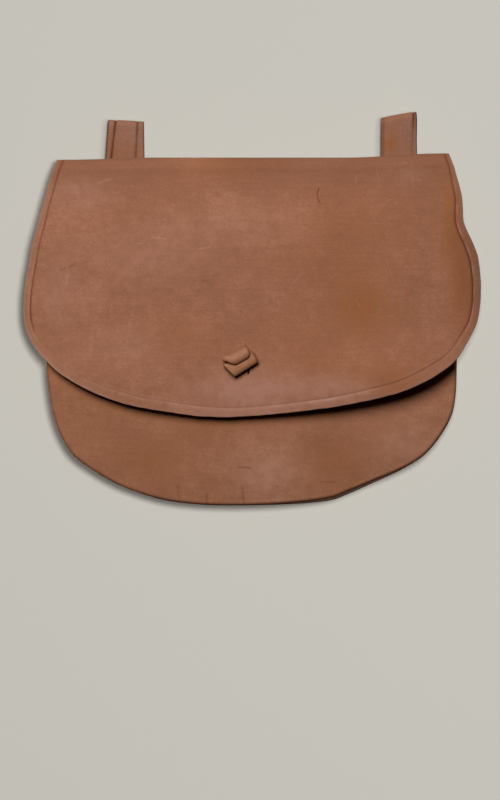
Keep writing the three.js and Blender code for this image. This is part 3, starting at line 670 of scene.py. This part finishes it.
onFlap = slice(shift, shift + len(flapPoints))
paint = {name: np.zeros(len(points)) for name in ("burnishAndShade", "rubbedAndLit", "greasyAndShaded", "scuffedAndLit", "rawEdgeAndShadow")}
paint["burnishAndShade"][onFlap] = np.concatenate(flapDark)
paint["rubbedAndLit"][onFlap] = np.concatenate(flapPale)
paint["rawEdgeAndShadow"][onFlap] = np.concatenate(flapRawAndShadow)
for row in rowIndex[flap["foldSteps"] // 2 : -1]:
    for name in ("burnishAndShade", "rawEdgeAndShadow"):
        paint[name][row] = paint[name][rowIndex[-1]]  # the crease runs on to the crown of the fold
x, down = points[:, 0], bag["foldY"] - points[:, 1]
onTop = points[:, 2] > flap["backBelow"]
paint["greasyAndShaded"][onTop] = dentsAt(flapGreaseAndShade, x[onTop], down[onTop])
paint["scuffedAndLit"][onTop] = dentsAt(flapScuffed, x[onTop], down[onTop])
paint["scuffedAndLit"][onFlap] += np.concatenate(flapWorn)
# painted shade along the fold, lessened at one rubbed place
handledAndShade = flap["handledAndShade"] * (1 - smoothStep(down, 0, flap["shadedDown"]))
paint["handledAndShade"] = handledAndShade * (1 - flap["rubbedShare"] * bell(x, flap["rubbedX"], flap["rubbedReach"]))
backAndFlap = drawnMesh("backAndFlap", points, [], quads, paint)
finishPiece(backAndFlap, bag["leather"], bag["softened"], flapLeather, "back_and_flap")

# Front panel: its rim is turned down to the gusset in a hidden seam.
front = dict(
    ripple=((0.3, 30, 11), (0.1, 9, 12)),
    slit=dict(x=-2.8, down=116.2, length=7.6, width=3.0, lean=0, lift=0),
    seamDark=0.25, seamLean=0.25,  # painted shade at the sides, and whole at the bottom, where the rim turns into the seam
    seamDown=(165.0, 185.0), seamBands=(0.25, 0.7),
    underFlapShade=0.8, underFlapShadeBelow=(1.0, 9.0),  # painted shadow: the front is darkened under the flap and just below its edge, where the flap's shadow falls
    flapFoot=20.0,  # the flap's lower edge begins this far over its corners
)
# darker patches; the first two are painted shade over the front's two dents
frontGreaseAndShade = [
    (-58, 172, 21, 15, 0.55),
    (46, 172, 17, 15, 0.55),
    (76, 153, 14, 7, 0.3),
    (-30, 156, 17, 8, 0.3),
    (-92, 156, 16, 16, 0.2),
]
# paler patches, painted light over the front's two swellings
frontWornAndLit = [
    (7, 180, 15, 12, 0.75),
    (87, 162, 17, 11, 0.45),
]
frontNet = panelNet(bodyShape, bag["mouthDown"], bag["bodyCorner"], rimInset, frontTuck)
x, down = frontNet["inner"].T
uneven = rippleAt(front["ripple"], x, down)
frontPoints = [spot(x, down, frontHeight(x, down) + uneven + dentsAt(frontPuckers, x, down))]
seamDark = [np.zeros(len(x))]
rimX, rimDown = frontNet["rim"].T
uneven = rippleAt(front["ripple"], rimX, rimDown) + dentsAt(frontPuckers, rimX, rimDown)
# the rolled rim gets painted shade as it turns down into the seam
low = smoothStep(rimDown + front["seamLean"] * rimX, *front["seamDown"])
shadedSeam = front["seamDark"] + (1 - front["seamDark"]) * low
for band in range(1, bag["bands"] + 1):
    share = band / bag["bands"]
    out, over = rolledRim(share, np.full(len(rimX), math.pi / 2))
    x, down = (frontNet["rim"] + frontNet["out"] * out[:, None]).T
    frontPoints.append(spot(x, down, frontHeight(rimX, rimDown) - over + uneven * (1 - share)))
    seamDark.append(shadedSeam * float(smoothStep(share, *front["seamBands"])))
points, quads = openSlit(np.concatenate(frontPoints), frontNet["quads"], frontNet["cell"], front["slit"])
x, down = points[:, 0], bag["foldY"] - points[:, 1]
# painted shadow under the flap's lower edge goes into the same paint as the grease patches
edgeX, edgeDown = outlineOf(flapShape).T
lower = edgeDown > flap["corner"] - front["flapFoot"]
below = down - np.interp(x, edgeX[lower], edgeDown[lower])
seamDark = np.concatenate(seamDark)
paint = dict(
    burnishAndShade=np.concatenate([seamDark, np.zeros(len(points) - len(seamDark))]),
    greasyAndShaded=dentsAt(frontGreaseAndShade, x, down) + front["underFlapShade"] * (1 - smoothStep(below, *front["underFlapShadeBelow"])),
    scuffedAndLit=dentsAt(frontWornAndLit, x, down),
)
frontPanel = drawnMesh("frontPanel", points, [], quads, paint)
finishPiece(frontPanel, bag["leather"], bag["softened"], frontLeather, "front_panel")

# Straps: one tree lays a strip of leather along a path, sinks its tooled creases and lets slack leather sag.
strapTree = bpy.data.node_groups.new("leatherStrap", "GeometryNodeTree")
strapLengths = ("Crease Width", "Crease Depth", "Edge Width", "Sag", "Sag Length")
strapNumbers = strapLengths + ("Left Edge Dark", "Right Edge Dark", "Seed")
strapInputs = {"Path": "Geometry", "Leather": "Material", "Steps Across": "Int"}
for label, kind in (strapInputs | dict.fromkeys(strapNumbers, "Float")).items():
    strapTree.interface.new_socket(label, in_out="INPUT", socket_type="NodeSocket" + kind)
strapTree.interface.new_socket("Strap", in_out="OUTPUT", socket_type="NodeSocketGeometry")
given = addNode(strapTree, "NodeGroupInput", {}).outputs
# what each point carries: its place on the path, half the strap as a vector, the way it sinks, sizes, creases
# and, from the section, its side
vectors = ("place", "sideways", "inward")
numbers = ("half", "curl", "drawnIn", "leftIn", "leftDark", "rightIn", "rightDark", "side")
carried = {}
for name in vectors + numbers:
    kind = "FLOAT_VECTOR" if name in vectors else "FLOAT"
    carried[name] = addNode(strapTree, "GeometryNodeInputNamedAttribute", {"Name": name}, data_type=kind)
# across the strap, from -1 to 1
section = addNode(strapTree, "GeometryNodeCurvePrimitiveLine", {"Start": (-1, 0, 0), "End": (1, 0, 0)})
section = addNode(
    strapTree, "GeometryNodeResampleCurve", {"Curve": section, "Count": given["Steps Across"]}
)
place = addNode(strapTree, "GeometryNodeInputPosition", {})
across = addNode(strapTree, "ShaderNodeSeparateXYZ", {0: place})
section = addNode(
    strapTree, "GeometryNodeStoreNamedAttribute",
    {"Geometry": section, "Name": "side", "Value": across}, data_type="FLOAT", domain="POINT",
)
line = addNode(strapTree, "GeometryNodeMeshToCurve", {"Mesh": given["Path"]})
swept = addNode(strapTree, "GeometryNodeCurveToMesh", {"Curve": line, "Profile Curve": section})
side = carried["side"]
flatPlace = addNode(
    strapTree, "ShaderNodeVectorMath", {0: carried["sideways"], "Scale": side}, operation="SCALE"
)
flatPlace = addNode(strapTree, "ShaderNodeVectorMath", (flatPlace, carried["place"]), operation="ADD")
# slack leather sinks in between its two edges, and where the rim is drawn in the strap follows it
bowed = side
for operation, number in (("MULTIPLY", math.pi / 2), ("COSINE", 0), ("POWER", 2)):
    bowed = addNode(strapTree, "ShaderNodeMath", (bowed, number), operation=operation)
spread = addNode(strapTree, "ShaderNodeMath", (1, given["Sag Length"]), operation="DIVIDE")
slack = addNode(
    strapTree, "ShaderNodeTexNoise",
    {"Vector": flatPlace, "W": given["Seed"], "Scale": spread, "Detail": 1.5}, noise_dimensions="4D",
)
slack = addNode(
    strapTree, "ShaderNodeMapRange",
    {"Value": slack, "From Min": 0.3, "From Max": 0.75, "To Min": 0, "To Max": given["Sag"]},
)
drawn = addNode(
    strapTree, "ShaderNodeMapRange",
    {"Value": side, "From Min": -0.3, "From Max": 1, "To Min": 0, "To Max": carried["drawnIn"]},
    interpolation_type="SMOOTHSTEP",
)
curl = side
for operation, number in (("ABSOLUTE", 0), ("POWER", 3)):
    curl = addNode(strapTree, "ShaderNodeMath", (curl, number), operation=operation)
sunk = addNode(strapTree, "ShaderNodeMath", (bowed, slack), operation="MULTIPLY")
sunk = addNode(strapTree, "ShaderNodeMath", (sunk, drawn), operation="ADD")
sunk = addNode(strapTree, "ShaderNodeMath", (curl, carried["curl"], sunk), operation="MULTIPLY_ADD")
# the tooled creases are darkened, and both edges get painted shade
dark = 0
for edge, sign in (("left", 1), ("right", -1)):
    inset, darkness = carried[edge + "In"], carried[edge + "Dark"]
    fromEdge = addNode(strapTree, "ShaderNodeMath", (side, sign, 1), operation="MULTIPLY_ADD")
    fromEdge = addNode(strapTree, "ShaderNodeMath", (fromEdge, carried["half"]), operation="MULTIPLY")
    away = addNode(strapTree, "ShaderNodeMath", (fromEdge, inset), operation="SUBTRACT")
    deep = addNode(strapTree, "ShaderNodeMath", (darkness, 0.6, 0.4), operation="MULTIPLY_ADD")
    deep = addNode(strapTree, "ShaderNodeMath", (deep, given["Crease Depth"]), operation="MULTIPLY")
    # both the crease and the edge's shade fade as a bell curve does
    for off, width, strength in (
        (away, "Crease Width", darkness), (fromEdge, "Edge Width", given[edge.title() + " Edge Dark"]),
    ):
        fade = off
        for operation, number in (("DIVIDE", given[width]), ("POWER", 2), ("MULTIPLY", -1), ("EXPONENT", 0)):
            fade = addNode(strapTree, "ShaderNodeMath", (fade, number), operation=operation)
        dark = addNode(strapTree, "ShaderNodeMath", (fade, strength, dark), operation="MULTIPLY_ADD")
        if off is away:
            sunk = addNode(strapTree, "ShaderNodeMath", (fade, deep, sunk), operation="MULTIPLY_ADD")
inwards = addNode(strapTree, "ShaderNodeVectorMath", {0: carried["inward"], "Scale": sunk}, operation="SCALE")
moved = addNode(strapTree, "ShaderNodeVectorMath", (flatPlace, inwards), operation="ADD")
laid = addNode(strapTree, "GeometryNodeSetPosition", {"Geometry": swept, "Position": moved})
laid = addNode(
    strapTree, "GeometryNodeStoreNamedAttribute",
    {"Geometry": laid, "Name": "burnishAndShade", "Value": dark}, data_type="FLOAT", domain="POINT",
)
for name in carried:
    laid = addNode(strapTree, "GeometryNodeRemoveAttribute", {"Geometry": laid, "Name": name})
laid = addNode(strapTree, "GeometryNodeRealizeInstances", {"Geometry": laid})
laid = addNode(strapTree, "GeometryNodeSetMaterial", {"Geometry": laid, "Material": given["Leather"]})
addNode(strapTree, "NodeGroupOutput", {"Strap": laid})


# A strap along a path, with its leather and sizes by their names in the tree.
def layStrap(name, path, sizes):
    count = len(path["place"])
    paint = {}
    for key, values in path.items():
        unit = 1 if key.endswith("Dark") or key == "inward" else mm
        paint[key] = unit * (values if np.ndim(values) == 2 else np.broadcast_to(values, count))
    edges = [(k, k + 1) for k in range(count - 1)]
    strap = drawnMesh(name, path["place"], edges, np.zeros((0, 4), int), paint)
    laidOut = strap.modifiers.new("laidOut", "NODES")
    laidOut.node_group = strapTree
    for item in strapTree.interface.items_tree:
        if item.name in sizes:
            size = sizes[item.name]
            laidOut[item.identifier] = size * mm if item.name in strapLengths else size
    return strap


# Gusset: one strip round the sides and bottom, its edges tucked inside the turned rims.
gusset = {
    # its edges are darkened with painted shade where they run in under the rims
    "Steps Across": 17, "Crease Width": 1.0, "Crease Depth": 0.0, "Edge Width": 2.0, "Left Edge Dark": 0.35,
    "Right Edge Dark": 0.35, "Sag": 2.9, "Sag Length": 50.0, "Seed": 3.0, "Leather": gussetLeather,
}
net = panelNet(bodyShape, bag["gussetDown"], bag["bodyCorner"], rimInset)
drawnIn = frontTuck(net["edge"][:, 0], net["edge"][:, 1])
tucked = net["rim"] - net["out"] * drawnIn[:, None]
low = backHeight(net["rim"][:, 1]) + bag["rimRound"] + bag["seamGap"]
high = frontHeight(tucked[:, 0], tucked[:, 1]) - bag["rimRound"] - bag["seamGap"]
seam = net["edge"] - net["out"] * bag["leather"] / 2
level = np.zeros(len(low))
path = dict(
    place=spot(seam[:, 0], seam[:, 1], (low + high) / 2),
    sideways=np.stack([level, level, (high - low) / 2], axis=1),
    inward=np.stack([-net["out"][:, 0], net["out"][:, 1], level], axis=1),
    half=(high - low) / 2, curl=bag["gussetTuck"], drawnIn=drawnIn,
    leftIn=0, leftDark=0, rightIn=0, rightDark=0,  # it has no tooled creases
)
gussetStrip = layStrap("gussetStrip", path, gusset)
finishPiece(gussetStrip, bag["leather"], bag["softened"], gussetLeather, "gusset")

# Belt loops: a strip doubled behind the back, both ends sewn under it, creased along its edges.
loopStrap = dict(
    leather=1.8, gap=5.0, curl=0.35,
    foot=-46.0, join=-28.0, joinedBy=0.85, contact=0.3,  # where the legs end, and how they come together
    frontSteps=48, bendSteps=22, rearSteps=34, sewnSteps=20,
)
loopSizes = {
    "Steps Across": 81, "Crease Width": 0.85, "Crease Depth": 0.35, "Edge Width": 0.7,
    "Sag": 0.0, "Sag Length": 1000.0, "Seed": 0.0, "Leather": loopLeather,
}
# Each crease: how far in it lies at the fold and at the top, how dark it is there and halfway.
loops = [
    dict(
        name="beltLoopLeft", node="belt_loop_left", x=-72.4, topLeft=21.8, topRight=20.8,
        foot=22.0, head=20.2, lean=0.6, twist=0.0,
        leftCrease=(3.1, 4.1, 1.0, 0.8, 1.15), rightCrease=(5.0, 3.6, 0.65, 0.6, 0.85),
        # painted shade along the left and right edges
        edges=(0.2, 0.7),
        greasyAndShaded=[(-80.5, -6, 3, 12, 0.5), (-72, -3, 10, 6, 0.4)],
    ),
    dict(
        name="beltLoopRight", node="belt_loop_right", x=84.0, topLeft=23.0, topRight=26.6,
        foot=20.8, head=20.0, lean=-0.2, twist=0.5,
        # its right crease darkens most at the top, painted shade for the gap between its legs
        leftCrease=(1.5, 1.6, 0.4, 0.4, 0.35), rightCrease=(2.8, 1.5, 0.3, 0.35, 1.2),
        edges=(0.2, 0.3),
        greasyAndShaded=[(79, -8, 6, 9, 0.65), (82, -24, 8, 4, 0.3)],
    ),
]
for loop in loops:
    foot, join = loopStrap["foot"], loopStrap["join"]
    rearZ = loopStrap["leather"] / 2
    frontZ = rearZ + loopStrap["leather"] + loopStrap["gap"]
    joinedZ = frontZ - loopStrap["leather"] - loopStrap["contact"]
    bend = (frontZ - rearZ) / 2
    mean = (loop["topLeft"] + loop["topRight"]) / 2 - loopStrap["leather"] / 2
    turn = mean - bend
    # up the front leg, over the bend, down the rear leg and in to the front leg's foot
    path = [(y, frontZ, 0) for y in np.linspace(foot, turn, loopStrap["frontSteps"])]
    for a in np.linspace(0, math.pi, loopStrap["bendSteps"])[1:-1]:
        path.append((turn + bend * math.sin(a), rearZ + bend + bend * math.cos(a), a / math.pi))
    path += [(y, rearZ, 1) for y in np.linspace(turn, join, loopStrap["rearSteps"])]
    for s in np.linspace(0, 1, loopStrap["sewnSteps"])[1:]:
        closer = float(smoothStep(s, 0, loopStrap["joinedBy"]))
        path.append((join + (foot - join) * s, rearZ + (joinedZ - rearZ) * closer, 1))
    path = np.array(path)
    y, z, back = path.T
    rise = np.clip(y / mean, 0, 1)
    half = (loop["foot"] + (loop["head"] - loop["foot"]) * rise) / 2
    middle = loop["x"] + loop["lean"] * rise + loop["twist"] * back * smoothStep(rise, 0, 1)
    along = np.gradient(path[:, :2], axis=0)
    along /= np.linalg.norm(along, axis=1)[:, None]
    level = np.zeros(len(path))
    strapPath = dict(
        place=np.stack([middle, bag["foldY"] + y, z], axis=1),
        sideways=np.stack([half, (loop["topRight"] - loop["topLeft"]) / 2 * rise, level], axis=1),
        inward=np.stack([level, along[:, 1], -along[:, 0]], axis=1),
        half=half, curl=loopStrap["curl"] * (1 - back), drawnIn=0,
    )
    for edge in ("left", "right"):
        footIn, headIn, *darkness = loop[edge + "Crease"]
        strapPath[edge + "In"] = footIn + (headIn - footIn) * rise
        strapPath[edge + "Dark"] = np.interp(rise, [0, 0.5, 1], darkness)
    leftShade, rightShade = loop["edges"]
    shades = {"Left Edge Dark": leftShade, "Right Edge Dark": rightShade}
    strap = layStrap(loop["name"], strapPath, {**loopSizes, **shades})
    finishPiece(strap, loopStrap["leather"], bag["softened"], loopLeather, loop["node"])
    spots = np.array([vertex.co for vertex in strap.data.vertices]) / mm
    greasyAndShaded = dentsAt(loop["greasyAndShaded"], spots[:, 0], bag["foldY"] - spots[:, 1]).astype(np.float32)
    strap.data.attributes.new("greasyAndShaded", "FLOAT", "POINT").data.foreach_set("value", greasyAndShaded)

# Toggle: a strip rolled up, its tail laid out from under the roll and back over the roll's shoulder in a bow.
toggle = dict(
    x=-5.3, down=117.9, turn=math.pi / 6, lean=0.115, sag=0.03,  # it lies on the slope of the flap
    leather=1.1, softened=0.25, length=17.5, shift=-0.15, turns=1.1, pitch=1.0,
    rollLift=0.3, rollRound=2.1, rollFlat=1.44, rollOff=-0.55,
    thinner=0.14, shorter=0.6,  # the roll is fuller in its middle, and its outer turn a little shorter
    slant=0.3, askew=0.25,  # the strip's left edge was cut askew
    thinFall=10, flatPower=2.5, roundedFrom=(0.6, 0.8),
    flares=((-1, 2.4, 0.1), (1, 0.8, 0.3)),  # how much wider the roll opens at each end, and from where
    flareFade=(0.55, 0.9),
    tailLeft=-8.7, tailRight=6.9,
    corners=((-1, 5.4, 1.5, 9.4, 1.8), (1, 2.8, 3.0, 7.4, 2.5)),  # the free end's side, size, reach and curve
    edgeDrop=0.5, dropAcross=(5.6, 7.8), dropAlong=(7.0, 11.0),  # the tail's edges bend down
    rollSteps=110, tailSteps=52, acrossSteps=41,
    endsDark=((1, 0.7, 0.82, 0.98), (-1, 0.45, 0.88, 1.0)),  # painted shade on the roll's ends: side, strength, reach
    # painted shade at the tail's free end and along its right edge
    tipDark=0.4, tipReach=(2.0, 5.0), sideDark=0.85, sideReach=(5.4, 6.7),
    rubbedAndLit=0.14, rubbedAt=(3.6, 1.8),  # the tail is paler along its crest and darker towards its rear
    handledAndShade=0.35, handledFrom=(4.0, 7.0),
    stemX=-2.7, stemDown=116.2, stemWidth=6.0, stemRise=0.8,
    tabWidth=13.0, tabLength=16.0, tabDrop=1.5,
)
# the tail's middle layer from under the roll to its free end: off the toggle's middle, and up from the flap
tailOff = [-2.0, 2.4, 5.6, 7.2, 8.0, 7.6, 6.4, 5.0, 3.6, 2.2, 0.85]
tailUp = [1.0, 1.0, 1.0, 1.4, 2.3, 3.7, 5.1, 6.0, 6.3, 6.1, 5.6]
rollCentre = toggle["rollLift"] + toggle["rollRound"] + toggle["leather"] / 2
turnsAt = np.linspace(0, toggle["turns"], toggle["rollSteps"])[:, None]
angle = 2 * math.pi * (turnsAt - toggle["turns"]) - math.pi / 2
outward = (turnsAt / toggle["turns"]) ** 2
across = np.linspace(-1, 1, toggle["acrossSteps"])[None]
radius = toggle["rollRound"] - toggle["pitch"] * (toggle["turns"] - turnsAt)
radius = radius * (1 - toggle["thinner"] * outward * np.abs(across) ** toggle["thinFall"])
flare = sum(size * smoothStep(side * across, begin, 1) for side, size, begin in toggle["flares"])
# flat inside and over its shoulder, round on the side that lies lower
rounded = smoothStep(turnsAt, *toggle["roundedFrom"])
flatness = np.tanh(toggle["flatPower"] * np.cos(angle)) * (1 - rounded) + np.cos(angle) * rounded
rollOff = radius * np.cos(angle) + toggle["rollFlat"] * flatness
rollOff = rollOff + flare * (1 + np.cos(angle)) / 2 * (1 - smoothStep(turnsAt, *toggle["flareFade"]))
rollEnd = toggle["askew"] * rollOff * smoothStep(-across, 0, 1)
rollGrid = np.stack(np.broadcast_arrays(
    toggle["shift"] + across * (toggle["length"] / 2 - toggle["shorter"] * outward) - rollEnd,
    toggle["rollOff"] + toggle["slant"] * across + rollOff,
    rollCentre + radius * np.sin(angle),
), axis=-1)

steps = np.linalg.norm(np.diff(np.stack([tailOff, tailUp], axis=1), axis=0), axis=1)
tailShape = dict(along=np.concatenate([[0], np.cumsum(steps)]), off=tailOff, up=tailUp)
tailWidth = toggle["tailRight"] - toggle["tailLeft"]
tailX = toggle["tailLeft"] + tailWidth * np.linspace(0, 1, toggle["acrossSteps"])[None]
reach = tailShape["along"][-1]
for side, size, begin, end, curve in toggle["corners"]:
    reach = reach - size * smoothStep(side * tailX, begin, end) ** curve
along = np.linspace(0, 1, toggle["tailSteps"])[:, None] * reach
fromMiddle = np.abs(tailX - (toggle["tailLeft"] + toggle["tailRight"]) / 2)
edgeDrop = toggle["edgeDrop"] * smoothStep(fromMiddle, *toggle["dropAcross"])
edgeDrop = edgeDrop * smoothStep(along, *toggle["dropAlong"])
tailGrid = np.stack(np.broadcast_arrays(
    tailX, columnAt(tailShape, "off", along), columnAt(tailShape, "up", along) - edgeDrop
), axis=-1)

flapTop = float(flapHeight(np.float64(toggle["x"]), np.float64(toggle["down"]))) + bag["leather"] / 2
seat = Matrix.Rotation(toggle["turn"], 3, "Z") @ Matrix.Rotation(-toggle["lean"], 3, "X")
seat = seat @ Matrix.Rotation(toggle["sag"], 3, "Y")
toggleSpot = np.array([toggle["x"], bag["foldY"] - toggle["down"], flapTop])
points, quads = [], []
for grid in (rollGrid, tailGrid):
    first = sum(len(part) for part in points)
    index = first + np.arange(grid.shape[0] * grid.shape[1]).reshape(grid.shape[:2])
    corners = [index[:-1, :-1], index[:-1, 1:], index[1:, 1:], index[1:, :-1]]
    quads.append(np.stack(corners, axis=-1).reshape(-1, 4))
    points.append(grid.reshape(-1, 3) @ np.array(seat).T + toggleSpot)
# the stem through both slits and the tab inside are plain strips of the same leather
frontTop = float(frontHeight(np.float64(toggle["stemX"]), np.float64(toggle["stemDown"])))
low, high = frontTop - bag["leather"] / 2 - toggle["tabDrop"], flapTop + toggle["stemRise"]
stemHalf, tabHalf, tabReach = toggle["stemWidth"] / 2, toggle["tabWidth"] / 2, toggle["tabLength"] / 2
stem = [(0, -stemHalf, low), (0, stemHalf, low), (0, stemHalf, high), (0, -stemHalf, high)]
square = ((-1, -1), (1, -1), (1, 1), (-1, 1))
tab = [(tabHalf * x, tabReach * y, low) for x, y in square]
for corners in (stem, tab):
    quads.append(np.arange(4)[None] + sum(len(part) for part in points))
    points.append(np.array(corners) + (toggle["stemX"], bag["foldY"] - toggle["stemDown"], 0))
points, quads = np.concatenate(points), np.concatenate(quads)

fromTip = reach - along
# painted shade on the roll's ends and on the tail's tip and right edge
rollDark = sum(dark * smoothStep(side * across, *span) for side, dark, *span in toggle["endsDark"])
rollDark = np.broadcast_to(rollDark, rollGrid.shape[:2])
tailDark = sum(toggle["tipDark"] * (1 - smoothStep(fromTip, 0, end)) for end in toggle["tipReach"])
tailDark = np.maximum(tailDark, toggle["sideDark"] * smoothStep(tailX, *toggle["sideReach"]))
paint = {name: np.zeros(len(points)) for name in ("burnishAndShade", "rubbedAndLit", "handledAndShade")}
onTail = slice(rollDark.size, rollDark.size + tailDark.size)
paint["burnishAndShade"][: rollDark.size] = rollDark.ravel()
paint["burnishAndShade"][onTail] = tailDark.ravel()
paint["rubbedAndLit"][onTail] = toggle["rubbedAndLit"] * bell(fromTip, *toggle["rubbedAt"]).ravel()
paint["handledAndShade"][onTail] = toggle["handledAndShade"] * smoothStep(fromTip, *toggle["handledFrom"]).ravel()
rolledToggle = drawnMesh("rolledToggle", points, [], quads, paint)
finishPiece(rolledToggle, toggle["leather"], toggle["softened"], toggleLeather, "toggle")

# Floor: a plain pale card under the bag.
cardHalf = 3.0  # in metres
floorMesh = bpy.data.meshes.new("floor")
floorMesh.from_pydata([(cardHalf * x, cardHalf * y, 0) for x, y in square], [], [(0, 1, 2, 3)])
floor = bpy.data.objects.new("floor", floorMesh)
scene.collection.objects.link(floor)
card = bpy.data.materials.new("paleCard")  # matte card gives an even pale ground without a shine
card.use_nodes = True
cardShader = card.node_tree.nodes["Principled BSDF"]
cardShader.inputs["Base Color"].default_value = linear("#c6c3ba")
cardShader.inputs["Roughness"].default_value = 0.9
cardShader.inputs["Specular IOR Level"].default_value = 0.1
floorMesh.materials.append(card)
floor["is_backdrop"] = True

# Light: a softbox up left for the bag alone. For the floor alone a lamp almost overhead, which gives the
# bag's shadow, and a wide fill from the right that only the belt loops block, for their softer shadow.
world = bpy.data.worlds.new("studio")
scene.world = world
world.use_nodes = True
room = world.node_tree.nodes["Background"]
room.inputs["Color"].default_value = (1, 1, 1, 1)
room.inputs["Strength"].default_value = 0.006  # almost none, so that the shadows keep their depth

bagLit = bpy.data.collections.new("bagLit")
floorLit = bpy.data.collections.new("floorLit")
fillBlocked = bpy.data.collections.new("fillBlocked")
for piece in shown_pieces():
    bagLit.objects.link(piece)
    if piece.name.startswith("beltLoop"):
        fillBlocked.objects.link(piece)
floorLit.objects.link(floor)
softboxes = [
    dict(name="keySoftbox", place=(-0.66, 1.5, 2.66), size=1.8, power=112.0, lights=bagLit, blocked=None),
    dict(name="floorLamp", place=(0.19, 0.19, 3.0), size=0.48, power=66.0, lights=floorLit, blocked=None),
    dict(name="floorFill", place=(1.0, 0.1, 3.1), size=1.5, power=30.6, lights=floorLit, blocked=fillBlocked),
]
for box in softboxes:
    lamp = bpy.data.lights.new(box["name"], "AREA")
    lamp.shape = "DISK"
    lamp.size = box["size"]
    lamp.energy = box["power"]
    light = bpy.data.objects.new(box["name"], lamp)
    light.location = box["place"]
    light.rotation_euler = (-light.location).to_track_quat("-Z", "Y").to_euler()
    light.light_linking.receiver_collection = box["lights"]
    light.light_linking.blocker_collection = box["blocked"]
    scene.collection.objects.link(light)
print("studio lit")
